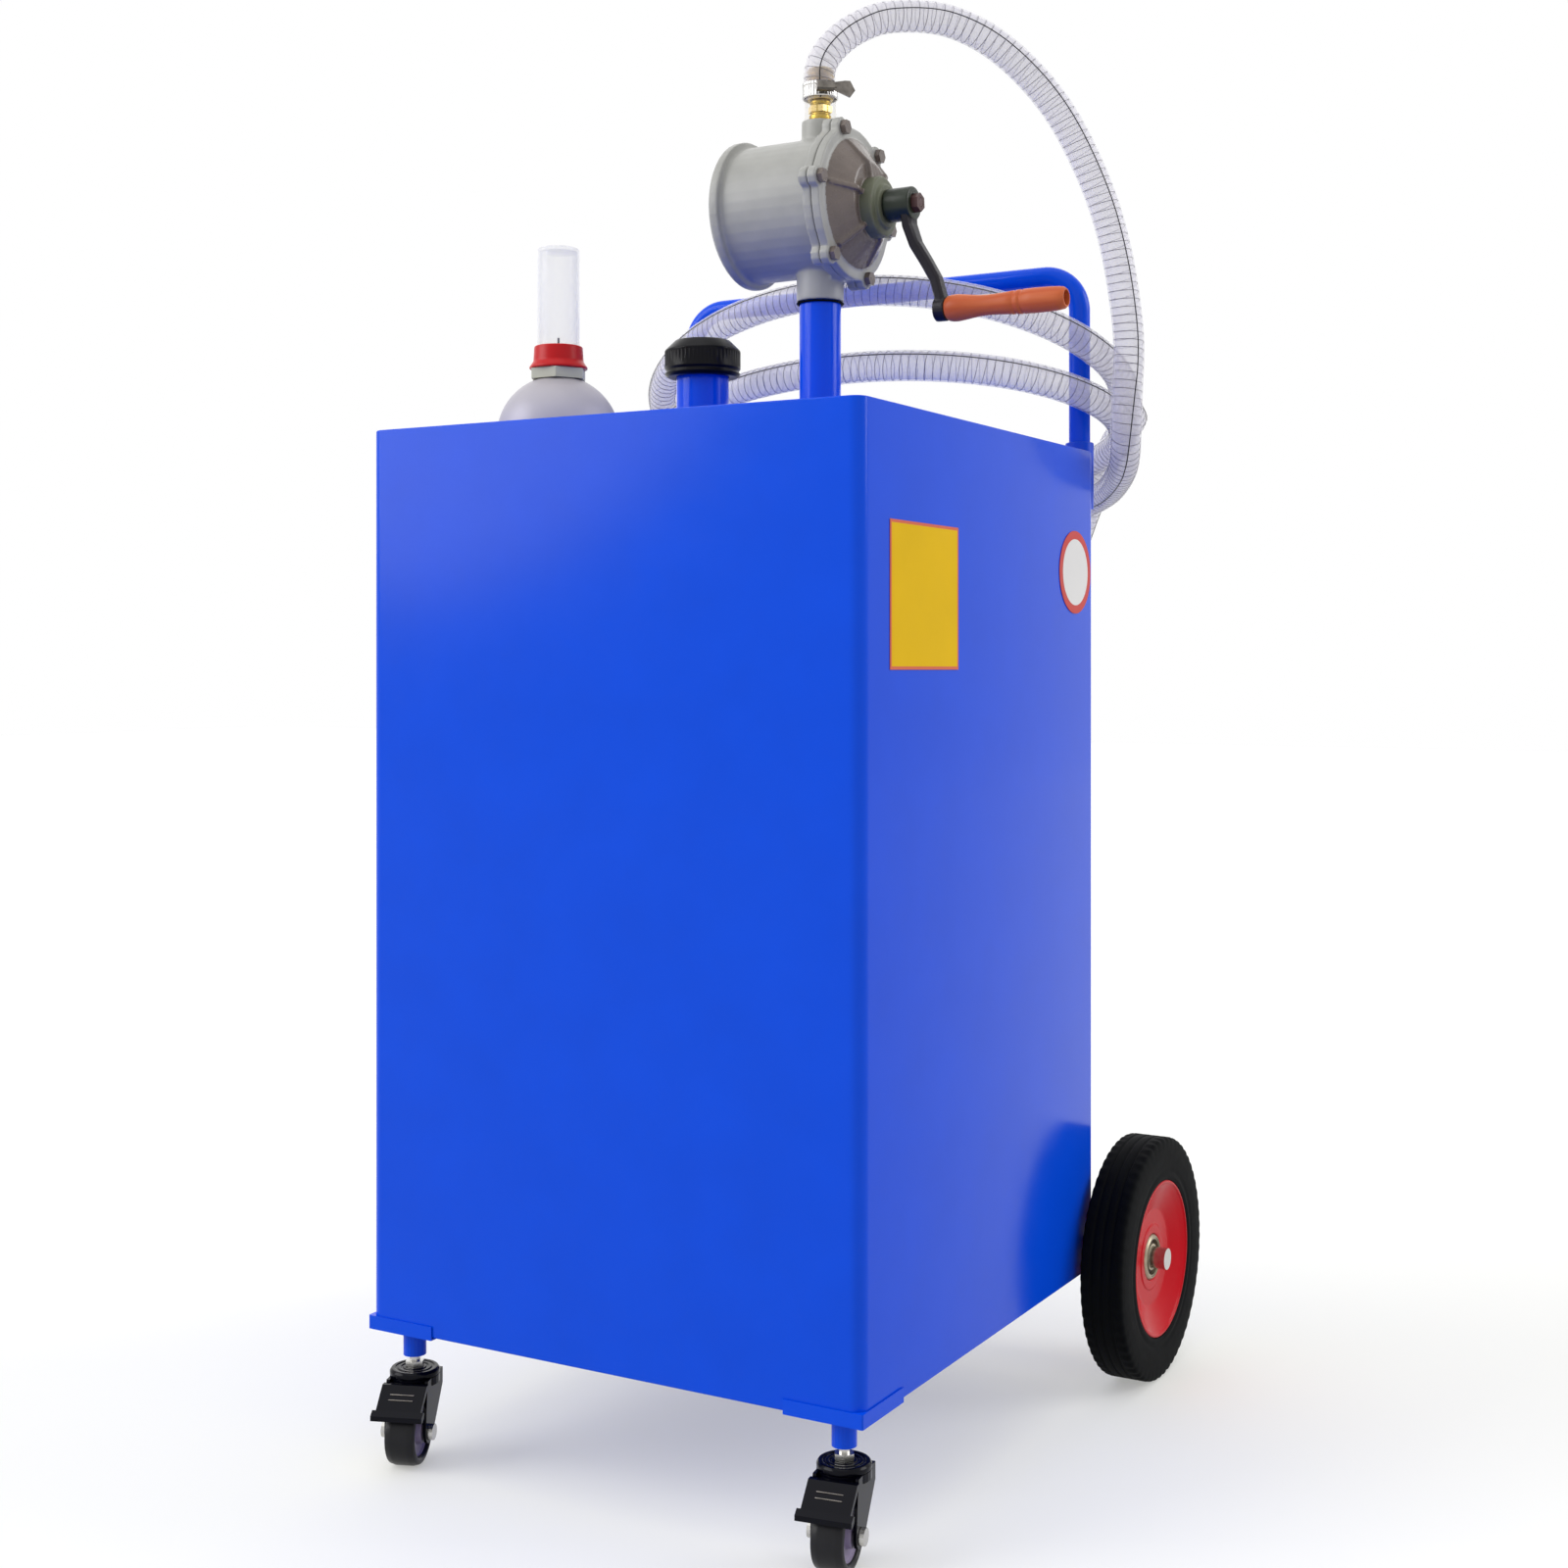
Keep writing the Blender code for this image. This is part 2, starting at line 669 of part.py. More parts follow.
def build_riser(looks):
    """Dip pipe from near the tank's floor up into the pump, with its weld ring on the top."""
    bottom = TANK_CLEARANCE + END_SHEET + DIP_CLEARANCE
    top = CASE_Z - INLET_LENGTH + INLET_SOCKET_DEPTH - GAP
    bore = RISER_RADIUS - RISER_WALL
    collar_base = TANK_TOP + GAP
    collar_top = TANK_TOP + RISER_COLLAR_HEIGHT
    outline = [
        (bore, bottom),
        (RISER_RADIUS, bottom),
        (RISER_RADIUS, collar_base),
        (RISER_COLLAR_RADIUS, collar_base),
        (RISER_COLLAR_RADIUS, collar_top - RISER_WALL),
        (RISER_RADIUS + RISER_WALL, collar_top),
        (RISER_RADIUS, collar_top),
        (RISER_RADIUS, top),
        (bore, top),
    ]
    place(turned("pump_riser", outline, 28, looks["blue_paint"]), (PUMP_X, PUMP_Y, 0))


def lug_centres():
    return circle_points(LUG_CIRCLE, LUG_COUNT, first_angle=LUG_FIRST_ANGLE)


def flange_outline():
    """A round flange with six ears: each ear's arc stands out of the flange's circle."""
    outline = []
    ear_half = math.asin(LUG_RADIUS / LUG_CIRCLE)
    for k in range(LUG_COUNT):
        angle = LUG_FIRST_ANGLE + math.tau * k / LUG_COUNT
        centre = (LUG_CIRCLE * math.cos(angle), LUG_CIRCLE * math.sin(angle))
        outline += arc_points(centre, LUG_RADIUS, angle - math.pi / 2, angle + math.pi / 2, 5)
        start = angle + 1.5 * ear_half
        end = angle + math.tau / LUG_COUNT - 1.5 * ear_half
        outline += arc_points((0, 0), FLANGE_RADIUS, start, end, 4)
    return outline


def build_pump(looks):
    """The casing's own +Z runs along world +X; the shaft lies below the casing's axis."""
    turn = (math.pi / 2, 0, math.pi / 2)
    centre = (PUMP_X, PUMP_Y, CASE_Z)
    shaft_centre = (PUMP_X, PUMP_Y, PUMP_Z)
    outline = [
        (0, -CASE_REAR),
        (CASE_RIM_RADIUS - CASE_RIM_WIDTH / 3, -CASE_REAR),
        (CASE_RIM_RADIUS, -CASE_REAR + CASE_RIM_WIDTH / 3),
        (CASE_RIM_RADIUS, -CASE_REAR + CASE_RIM_WIDTH),
        (CASE_RADIUS, -CASE_REAR + CASE_RIM_WIDTH),
        (CASE_RADIUS, CASE_FRONT - FLANGE_THICK / 2),
        (0, CASE_FRONT - FLANGE_THICK / 2),
    ]
    case = turned("pump_case", outline, 42, looks["grey_casting"])
    place(case, centre, turn)
    flange = prism("case_flange", flange_outline(), CASE_FRONT - FLANGE_THICK, CASE_FRONT, None)
    add_boolean(case, place(flange, centre, turn), "UNION")
    inlet = turned("case_inlet", cylinder_outline(INLET_RADIUS, -INLET_LENGTH, 0), 28, None)
    add_boolean(case, place(inlet, centre), "UNION")
    outlet = turned("case_outlet", cylinder_outline(OUTLET_RADIUS, 0, OUTLET_LENGTH), 28, None)
    add_boolean(case, place(outlet, centre), "UNION")
    drill(
        case, "inlet_socket", RISER_RADIUS + GAP, -INLET_LENGTH - OVERRUN,
        INLET_SOCKET_DEPTH - INLET_LENGTH, centre, sides=28,
    )

    cover_start = CASE_FRONT + GAP
    face = cover_start + FLANGE_THICK
    shaft_clearance = SHAFT_RADIUS + GAP
    seat_floor = face + BOSS_DEPTH + BOSS_NOSE_DEPTH - SHAFT_SEAT
    outline = [
        (0, cover_start + GAP),
        (COVER_CONE_RADIUS, cover_start + GAP),
        (COVER_CONE_RADIUS, face + GAP),
        (BOSS_RADIUS + FLANGE_THICK, face + COVER_DEPTH),
        (0, face + COVER_DEPTH),
    ]
    cover = turned("pump_cover", outline, 32, looks["grey_casting"])
    place(cover, centre, turn)
    outline = [
        (0, face),
        (BOSS_RADIUS, face),
        (BOSS_RADIUS, face + BOSS_DEPTH),
        (BOSS_NOSE_RADIUS, face + BOSS_DEPTH),
        (BOSS_NOSE_RADIUS, face + BOSS_DEPTH + BOSS_NOSE_DEPTH),
        (0, face + BOSS_DEPTH + BOSS_NOSE_DEPTH),
    ]
    boss = turned("cover_boss", outline, 30, None)
    add_boolean(cover, place(boss, shaft_centre, turn), "UNION")
    flange = prism("cover_flange", flange_outline(), cover_start, face, None)
    add_boolean(cover, place(flange, centre, turn), "UNION")
    ribs = bmesh.new()
    reach = LUG_CIRCLE - BOLT_HEAD_RADIUS - RIB_THICK
    for k in range(LUG_COUNT):
        angle = LUG_FIRST_ANGLE + math.tau * k / LUG_COUNT
        along = Vector((math.cos(angle), math.sin(angle), 0))
        across = Vector((-math.sin(angle), math.cos(angle), 0)) * (RIB_THICK / 2)
        inner = along * (BOSS_RADIUS - 2 * RIB_THICK)
        shoulder = along * (BOSS_RADIUS + FLANGE_THICK)
        outer = along * reach
        low, high_out = face - FLANGE_THICK / 2, face + RIB_RISE
        high_in = face + COVER_DEPTH + RIB_RISE
        corners = (
            (inner, low), (outer, low), (outer, high_out), (shoulder, high_in), (inner, high_in)
        )
        rib = [
            [ribs.verts.new(p + across * s + Vector((0, 0, z))) for s in (-1, 1)]
            for p, z in corners
        ]
        for a, b in zip(rib, rib[1:] + rib[:1]):
            ribs.faces.new([a[0], a[1], b[1], b[0]])
        ribs.faces.new([pair[0] for pair in rib])
        ribs.faces.new([pair[1] for pair in rib])
    rib_item = finish_mesh("cover_ribs", ribs, None)
    add_boolean(cover, place(rib_item, centre, turn), "UNION")
    seat = cylinder_outline(shaft_clearance, seat_floor, face + BOSS_DEPTH + OVERRUN)
    shaft_seat = turned("shaft_seat", seat, 16, None)
    add_boolean(cover, place(shaft_seat, shaft_centre, turn), "DIFFERENCE")

    holes = bmesh.new()
    for hole_centre in lug_centres():
        hole = circle_points(LUG_BOLT_RADIUS + GAP, 10, hole_centre)
        prism_mesh(hole, CASE_FRONT - FLANGE_THICK - OVERRUN, face + OVERRUN, holes)
    drilling = finish_mesh("flange_holes", holes, None)
    place(drilling, centre, turn)
    add_boolean(case, drilling, "DIFFERENCE")
    add_boolean(cover, drilling, "DIFFERENCE")
    axis_turn = Matrix.Rotation(math.pi / 2, 4, "Z") @ Matrix.Rotation(math.pi / 2, 4, "X")
    for k, (a, b) in enumerate(lug_centres()):
        outline = [
            (0, CASE_FRONT - FLANGE_THICK),
            (LUG_BOLT_RADIUS, CASE_FRONT - FLANGE_THICK),
            (LUG_BOLT_RADIUS, face + GAP),
            (BOLT_HEAD_RADIUS, face + GAP),
            (BOLT_HEAD_RADIUS, face + BOLT_HEAD_HEIGHT),
            (0, face + BOLT_HEAD_HEIGHT),
        ]
        bolt = turned(f"cover_bolt_{k + 1}", outline, 6, looks["grey_casting"])
        place(bolt, Vector(centre) + axis_turn @ Vector((a, b, 0)), turn)
    return PUMP_X + face + BOSS_DEPTH + BOSS_NOSE_DEPTH


def build_crank(looks, nose_x):
    """Shaft, cranked arm and turning wooden grip; all turn about the shaft's axis."""
    axis = add_empty("crank_axis", (nose_x, PUMP_Y, PUMP_Z))
    axis.rotation_euler = (CRANK_REST_ANGLE, 0, 0)
    along_x = (0, math.pi / 2, 0)
    hub_end = CRANK_HUB_GAP + CRANK_HUB_LENGTH
    shaft_end = hub_end + CRANK_NUT_HEIGHT + GAP
    outline = [
        (0, GAP - SHAFT_SEAT),
        (SHAFT_RADIUS, GAP - SHAFT_SEAT),
        (SHAFT_RADIUS, hub_end - GAP),
        (SHAFT_THREAD_RADIUS, hub_end - GAP),
        (SHAFT_THREAD_RADIUS, shaft_end),
        (0, shaft_end),
    ]
    place(turned("pump_shaft", outline, 16, looks["steel"]), (0, 0, 0), along_x, axis)
    nut = prism("crank_nut", hexagon(CRANK_NUT_FLATS), 0, CRANK_NUT_HEIGHT, looks["steel"])
    place(nut, (hub_end + GAP, 0, 0), along_x, axis)
    bore_outline = cylinder_outline(
        SHAFT_THREAD_RADIUS + GAP, -OVERRUN, CRANK_NUT_HEIGHT + OVERRUN
    )
    bore = turned("crank_nut_bore", bore_outline, 16, None)
    add_boolean(nut, place(bore, (hub_end + GAP, 0, 0), along_x, axis), "DIFFERENCE")

    hub_outline = cylinder_outline(CRANK_HUB_RADIUS, CRANK_HUB_GAP, hub_end)
    crank = turned("crank_arm", hub_outline, 28, looks["dark_steel"])
    place(crank, (0, 0, 0), along_x, axis)
    arm_start_x = CRANK_HUB_GAP + CRANK_HUB_LENGTH * CRANK_ARM_START_SHARE
    eye_start_x = arm_start_x + CRANK_OFFSET
    half_width, half_thick = CRANK_HUB_RADIUS * CRANK_ARM_WIDTH_SHARE, CRANK_EYE_LENGTH / 2
    drop_shares = (0.05, 0.20, 0.38, 0.55, 0.72, 0.88, 1.0)
    offset_shares = (0.0, 0.03, 0.22, 0.55, 0.85, 0.98, 1.0)
    width_shares = (1.0, 0.85, 0.70, 0.62, 0.60, 0.64, 0.70)
    middle_line = [
        Vector((arm_start_x + CRANK_OFFSET * o, 0, -CRANK_LENGTH * d))
        for d, o in zip(drop_shares, offset_shares)
    ]
    frames = []
    for k, point in enumerate(middle_line):
        ahead = middle_line[min(k + 1, len(middle_line) - 1)]
        behind = middle_line[max(k - 1, 0)]
        run = (ahead - behind).normalized()
        out = Vector((-run.z, 0, run.x))
        frames.append((point, Vector((0, 1, 0)), out, (half_width * width_shares[k], half_thick)))
    corner_share = 0.55
    section = [
        (-1, -corner_share), (-corner_share, -1), (corner_share, -1), (1, -corner_share),
        (1, corner_share), (corner_share, 1), (-corner_share, 1), (-1, corner_share),
    ]
    arm = finish_mesh("crank_arm_bar", sweep_mesh(frames, section), None)
    place(arm, (0, 0, 0), parent=axis)
    add_boolean(crank, arm, "UNION")
    eye_outline = cylinder_outline(CRANK_EYE_RADIUS, -CRANK_EYE_LENGTH / 2, CRANK_EYE_LENGTH / 2)
    eye = turned("crank_eye", eye_outline, 24, None)
    place(eye, (eye_start_x, 0, -CRANK_LENGTH), along_x, axis)
    add_boolean(crank, eye, "UNION")
    bores = (
        ("crank_bore", SHAFT_RADIUS + GAP, (0, 0, 0), CRANK_HUB_GAP, hub_end),
        ("crank_eye_bore", GRIP_PIN_RADIUS + GAP, (0, 0, -CRANK_LENGTH), arm_start_x, eye_start_x),
    )
    for name, radius, location, start, end in bores:
        outline = cylinder_outline(radius, start - 2 * OVERRUN, end + 2 * OVERRUN)
        cutter = turned(name, outline, 16, None)
        add_boolean(crank, place(cutter, location, along_x, axis), "DIFFERENCE")

    grip_axis = add_empty("grip_axis", (eye_start_x, 0, -CRANK_LENGTH), parent=axis)
    pin_start = -CRANK_EYE_LENGTH / 2
    grip_start = CRANK_EYE_LENGTH / 2 + GAP
    grip_end = grip_start + GRIP_LENGTH
    pin_end = grip_end - GRIP_RECESS_DEPTH
    outline = [
        (0, pin_start),
        (GRIP_PIN_RADIUS, pin_start),
        (GRIP_PIN_RADIUS, pin_end + GAP),
        (GRIP_HEAD_RADIUS, pin_end + GAP),
        (GRIP_HEAD_RADIUS, pin_end + GRIP_HEAD_LENGTH),
        (0, pin_end + GRIP_HEAD_LENGTH),
    ]
    place(turned("grip_pin", outline, 16, looks["steel"]), (0, 0, 0), along_x, grip_axis)
    length_shares = (0.0, 0.0, 0.03, 0.09, 0.17, 0.26, 0.36, 0.48, 0.575, 0.58, 0.60, 0.605, 0.635)
    length_shares += (0.64, 0.66, 0.665, 0.90, 0.98, 1.0)
    radius_shares = (0.70, 0.78, 0.98, 1.0, 0.92, 0.80, 0.75, 0.80, 0.87, 0.82, 0.82, 0.88, 0.90)
    radius_shares += (0.84, 0.84, 0.91, 0.90, 0.85, 0.74)
    outline = [(GRIP_PIN_RADIUS + GAP, grip_start)]
    for length_share, radius_share in zip(length_shares[1:], radius_shares[1:]):
        outline.append((GRIP_RADIUS * radius_share, grip_start + GRIP_LENGTH * length_share))
    outline += [
        (GRIP_RECESS_RADIUS, grip_end),
        (GRIP_RECESS_RADIUS, pin_end),
        (GRIP_PIN_RADIUS + GAP, pin_end),
    ]
    place(turned("crank_grip", outline, 16, looks["orange_wood"]), (0, 0, 0), along_x, grip_axis)


def clamp_outline():
    inner = HOSE_RADIUS + GAP
    return tube_outline(inner, inner + CLAMP_SHEET, 0, CLAMP_WIDTH)


def clamp_screw_mesh():
    """Worm housing and thumb key, lying along X beside the band."""
    start = -CLAMP_HOUSING_LENGTH / 2
    end = CLAMP_HOUSING_LENGTH / 2
    outline = [
        (0, start),
        (CLAMP_HOUSING_RADIUS, start),
        (CLAMP_HOUSING_RADIUS, end),
        (CLAMP_SCREW_RADIUS, end),
        (CLAMP_SCREW_RADIUS, end + CLAMP_KEY_THICK),
        (0, end + CLAMP_KEY_THICK),
    ]
    return lathe_mesh(outline, 12)


def clamp_key_outline():
    """Wing key seen flat: narrow at the screw, wide and slanted at its free end."""
    root, tip = CLAMP_KEY_ROOT / 2, CLAMP_KEY_SPAN / 2
    return [
        (0, -root),
        (CLAMP_KEY_LENGTH, -tip),
        (CLAMP_KEY_LENGTH + CLAMP_KEY_SLANT, -root),
        (CLAMP_KEY_LENGTH, tip - CLAMP_KEY_SLANT),
        (CLAMP_KEY_LENGTH - CLAMP_KEY_SLANT, tip - CLAMP_KEY_SLANT),
        (0, root),
    ]


def add_clamp(prefix, location, looks):
    """Band round the hose, with its worm screw and wing key beside it."""
    along = (0, 0, CLAMP_HEADING)
    place(turned(f"{prefix}_band", clamp_outline(), 32, looks["steel"]), location, along)
    screw = finish_mesh(f"{prefix}_screw", clamp_screw_mesh(), looks["steel"])
    side = HOSE_RADIUS + CLAMP_SHEET + CLAMP_HOUSING_RADIUS + 2 * GAP
    half_key = CLAMP_KEY_THICK / 2
    key = prism(f"{prefix}_key", clamp_key_outline(), -half_key, half_key, None)
    local = Matrix.Translation(location) @ Matrix.Rotation(CLAMP_HEADING, 4, "Z")
    screw_spot = local @ Vector((0, -side, CLAMP_WIDTH / 2))
    key_spot = local @ Vector((CLAMP_HOUSING_LENGTH / 2 + GAP, -side, CLAMP_WIDTH / 2))
    place(screw, screw_spot, (0, math.pi / 2, CLAMP_HEADING))
    place(key, key_spot, (math.pi / 2, 0, CLAMP_HEADING))
    add_boolean(screw, key, "UNION")


def build_outlet(looks):
    """Brass hose tail on the pump's outlet, and the clamp that holds the hose on it."""
    base = CASE_Z + OUTLET_LENGTH + GAP
    barb = prism("outlet_barb", hexagon(BARB_HEX_FLATS), 0, BARB_HEX_HEIGHT, looks["brass"])
    place(barb, (PUMP_X, PUMP_Y, base))
    neck = turned(
        "barb_neck",
        cylinder_outline(BARB_NECK_RADIUS, BARB_HEX_HEIGHT / 2, BARB_HEX_HEIGHT + BARB_NECK_HEIGHT),
        24,
        None,
    )
    add_boolean(barb, place(neck, (PUMP_X, PUMP_Y, base)), "UNION")
    hose_start = Vector((PUMP_X, PUMP_Y, base + BARB_HEX_HEIGHT + BARB_NECK_HEIGHT + GAP))
    clamp_spot = hose_start + Vector((0, 0, CLAMP_SHEET))
    add_clamp("outlet_clamp", clamp_spot, looks)
    return hose_start


def coil_point(turn):
    """Centre of the hose after so many turns: right end, rear, left end, front, and round again."""
    angle = -math.tau * turn
    lift = COIL_FRONT_LIFT + COIL_FRONT_LIFT_GAIN * (turn - COIL_FRONT_TURN)
    mean = (lift + COIL_REAR_DROP) / 2
    swing = mean + (lift - COIL_REAR_DROP) / 2 * math.sin(angle)
    rise = COIL_PITCH * turn + swing * math.sin(angle) + COIL_SIDE_LIFT * math.cos(angle)
    return Vector(
        (
            COIL_CENTRE_X + COIL_HALF_WIDTH * math.cos(angle),
            COIL_CENTRE_Y - COIL_HALF_DEPTH * math.sin(angle),
            COIL_START_HEIGHT + rise,
        )
    )


def coil_points():
    steps = range(COIL_FIRST_STEP, COIL_LAST_STEP + 1)
    points = [coil_point(k / COIL_LOOP_POINTS) for k in steps]
    lead_in = (points[0] - points[1]).normalized() * HOSE_DIAMETER
    lead_out = (points[-1] - points[-2]).normalized() * HOSE_DIAMETER
    return [points[0] + lead_in, *points, points[-1] + lead_out]


def least_coil_gap(points):
    """Smallest clear distance between neighbouring turns, from points along the centreline."""
    fine = []
    for p, q in zip(points, points[1:]):
        fine += [p.lerp(q, share / 6) for share in range(6)]
    per_loop = 6 * COIL_LOOP_POINTS
    apart = per_loop // 3
    gaps = [
        (fine[j] - fine[i]).length
        for i in range(len(fine))
        for j in range(i + apart, len(fine))
    ]
    return min(gaps) - HOSE_DIAMETER


def hose_stretch(start, start_run, knots, end, end_run):
    """Points of one stretch of hose: straight for a diameter at each end, smooth between."""
    inner_start = start + start_run * HOSE_DIAMETER
    inner_end = end - end_run * HOSE_DIAMETER
    inner = [inner_start, *[Vector(p) for p in knots], inner_end]
    return [start, *smooth_route(inner, ROUTE_SPACING), end]


def build_hose(looks, hose_start):
    coil = coil_points()
    tube_curve("hose_coil", coil, HOSE_RADIUS, 1, looks["hose_vinyl"])
    print("least gap between turns", round(least_coil_gap(coil), 5))

    into_coil = (coil[1] - coil[0]).normalized()
    up = Vector((0, 0, 1))
    arc = hose_stretch(hose_start, up, ARC_ROUTE, coil[0] - into_coil * GAP, into_coil)
    tube_curve("hose_arc", arc, HOSE_RADIUS, 2, looks["hose_vinyl"])

    out_of_coil = (coil[-1] - coil[-2]).normalized()
    tail_start = coil[-1] + out_of_coil * GAP
    tail = hose_stretch(tail_start, out_of_coil, TAIL_ROUTE, Vector(TAIL_END), -up)
    tube_curve("hose_tail", tail, HOSE_RADIUS, 2, looks["hose_vinyl"])


def build_spout(looks):
    """A bent metal spout hangs from the hose's free end."""
    start = Vector(TAIL_END) - Vector((0, 0, GAP))
    straight = SPOUT_LENGTH / 2
    bend_radius = (SPOUT_LENGTH - straight) / SPOUT_BEND_ANGLE
    points = [start, start - Vector((0, 0, straight))]
    for k in range(1, SPOUT_POINTS + 1):
        angle = SPOUT_BEND_ANGLE * k / SPOUT_POINTS
        side = bend_radius * (1 - math.cos(angle))
        drop = straight + bend_radius * math.sin(angle)
        points.append(start + Vector((-side, 0, -drop)))
    spout = tube_curve("discharge_spout", points, SPOUT_RADIUS, 2, looks["silver_paint"])
    sleeve = turned(
        "spout_sleeve", cylinder_outline(SPOUT_SLEEVE_RADIUS, -SPOUT_SLEEVE_LENGTH, 0), 20, None
    )
    place(sleeve, start)
    end_drop = straight + bend_radius * math.sin(SPOUT_BEND_ANGLE)
    end_side = bend_radius * (1 - math.cos(SPOUT_BEND_ANGLE))
    mouth = start + Vector((-end_side, 0, -end_drop))
    bore = turned(
        "spout_bore",
        cylinder_outline(SPOUT_RADIUS - SPOUT_WALL, -SPOUT_RADIUS, SPOUT_RADIUS),
        16,
        None,
    )
    place(bore, mouth, (0, SPOUT_BEND_ANGLE, 0))
    spout_mesh = bpy.data.meshes.new_from_object(
        spout.evaluated_get(bpy.context.evaluated_depsgraph_get())
    )
    bpy.data.objects.remove(spout, do_unlink=True)
    solid = bpy.data.objects.new("discharge_spout", spout_mesh)
    bpy.context.collection.objects.link(solid)
    add_boolean(solid, sleeve, "UNION")
    add_boolean(solid, bore, "DIFFERENCE")


def build_handle(looks):
    """One bent tube whose legs stand in sockets on the tank's rear face."""
    leg_x = HANDLE_SPAN / 2
    leg_y = REAR_FACE + SOCKET_RADIUS + GAP
    top = TANK_TOP + HANDLE_TOP_RISE
    socket_base = TANK_TOP + SOCKET_TOP_RISE - SOCKET_HEIGHT
    foot = socket_base + SOCKET_FLOOR + GAP
    corner_x = leg_x - HANDLE_BEND_RADIUS
    corner_z = top - HANDLE_BEND_RADIUS
    right = arc_points((corner_x, corner_z), HANDLE_BEND_RADIUS, 0, math.pi / 2, HANDLE_BEND_POINTS)
    left = [(-x, z) for x, z in reversed(right)]
    path = [(leg_x, foot), *right, *left, (-leg_x, foot)]
    points = [Vector((x, leg_y, z)) for x, z in path]
    tube_curve("push_handle", points, HANDLE_TUBE_RADIUS, 3, looks["blue_paint"])
    inner = HANDLE_TUBE_RADIUS + GAP
    for side_name, sign in (("left", -1), ("right", 1)):
        outline = [
            (0, 0),
            (SOCKET_RADIUS, 0),
            (SOCKET_RADIUS, SOCKET_HEIGHT),
            (inner, SOCKET_HEIGHT),
            (inner, SOCKET_FLOOR),
            (0, SOCKET_FLOOR),
        ]
        socket = turned(f"handle_socket_{side_name}", outline, 24, looks["blue_paint_dark"])
        place(socket, (sign * leg_x, leg_y, socket_base))


def corner_mount(side_name, sign, looks):
    """Square cup under the tank's front corner, with the post that the caster screws into."""
    outer_x = sign * (SIDE_FACE + CORNER_OVERHANG)
    inner_x = sign * (SIDE_FACE - CORNER_PLATE)
    outer_y = -REAR_FACE - CORNER_OVERHANG
    inner_y = CORNER_PLATE - REAR_FACE
    seat = TANK_CLEARANCE - GAP
    bottom = seat - CORNER_PLATE_THICK
    outline = [
        (outer_x - sign * CORNER_CHAMFER, outer_y),
        (outer_x, outer_y + CORNER_CHAMFER),
        (outer_x, inner_y),
        (outer_x - sign * CORNER_PLATE / 3, inner_y),
        (inner_x, outer_y + CORNER_PLATE / 3),
        (inner_x, outer_y),
    ]
    cup = prism(f"corner_mount_{side_name}", outline, bottom, seat + CORNER_RIM_RISE, looks["blue_paint"])
    clear = 2 * GAP
    room = rounded_rectangle(TANK_WIDTH + clear, TANK_DEPTH + clear, TANK_CORNER_RADIUS + GAP)
    add_boolean(cup, prism(f"corner_room_{side_name}", room, seat, TANK_TOP, None), "DIFFERENCE")
    spot = (sign * (SIDE_FACE - POST_X_INSET), POST_Y_INSET - REAR_FACE, 0)
    middle = seat - CORNER_PLATE_THICK / 2
    post = turned(
        f"corner_post_{side_name}", cylinder_outline(POST_RADIUS, POST_BOTTOM, middle), 20, None
    )
    add_boolean(cup, place(post, spot), "UNION")
    bore = STUD_RADIUS + GAP
    drill(
        cup, f"corner_post_bore_{side_name}", bore, POST_BOTTOM - OVERRUN, middle, spot, sides=12
    )
    return spot


def fork_crown_bottom():
    return 2 * CASTER_WHEEL_RADIUS + FORK_WHEEL_CLEARANCE


def race_bottom():
    return fork_crown_bottom() + FORK_CROWN_HEIGHT + GAP


def race_top():
    return race_bottom() + RACE_HEIGHT


def fork_side_outline():
    """Side plate seen along the axle: (trail direction, height)."""
    crown = fork_crown_bottom()
    reach = RACE_RADIUS * FORK_REACH_SHARE
    eye = CASTER_AXLE_HEAD + FORK_SHEET
    outline = [(-reach, crown + FORK_CROWN_HEIGHT), (-reach, crown - CASTER_AXLE_HEAD)]
    outline += arc_points(
        (CASTER_TRAIL, CASTER_WHEEL_RADIUS), eye, math.radians(215), math.radians(360), 6
    )
    outline += [(reach + FORK_SHEET, crown - CASTER_AXLE_HEAD), (reach, crown + FORK_CROWN_HEIGHT)]
    return outline


def add_fork(name, location, pivot, looks):
    """Crown plate and two side plates, one pressing; local X is the axle, -Y the trail."""
    half = FORK_WIDTH / 2
    crown_z = fork_crown_bottom()
    crown = prism(
        name,
        circle_points(RACE_RADIUS, 28),
        crown_z,
        crown_z + FORK_CROWN_HEIGHT,
        looks["dark_steel"],
    )
    place(crown, (0, 0, 0), parent=pivot)
    sides = bmesh.new()
    for start in (-half, half - FORK_SHEET):
        builder = prism_mesh(fork_side_outline(), start, start + FORK_SHEET)
        turn = Matrix(((0, 0, 1, 0), (-1, 0, 0, 0), (0, 1, 0, 0), (0, 0, 0, 1)))
        bmesh.ops.transform(builder, matrix=turn, verts=builder.verts)
        temporary = bpy.data.meshes.new(f"{name}_side")
        builder.to_mesh(temporary)
        builder.free()
        sides.from_mesh(temporary)
        bpy.data.meshes.remove(temporary)
    side_item = finish_mesh(f"{name}_sides", sides, None)
    place(side_item, (0, 0, 0), parent=pivot)
    add_boolean(crown, side_item, "UNION")
    hole = cylinder_outline(CASTER_AXLE_RADIUS + GAP, -half - OVERRUN, half + OVERRUN)
    holes = turned(f"{name}_axle_hole", hole, 14, None)
    place(holes, (0, -CASTER_TRAIL, CASTER_WHEEL_RADIUS), (0, math.pi / 2, 0), pivot)
    add_boolean(crown, holes, "DIFFERENCE")
    hole = cylinder_outline(STUD_RADIUS + GAP, crown_z - OVERRUN, race_top())
    stud_hole = turned(f"{name}_stud_hole", hole, 14, None)
    place(stud_hole, (0, 0, 0), parent=pivot)
    add_boolean(crown, stud_hole, "DIFFERENCE")


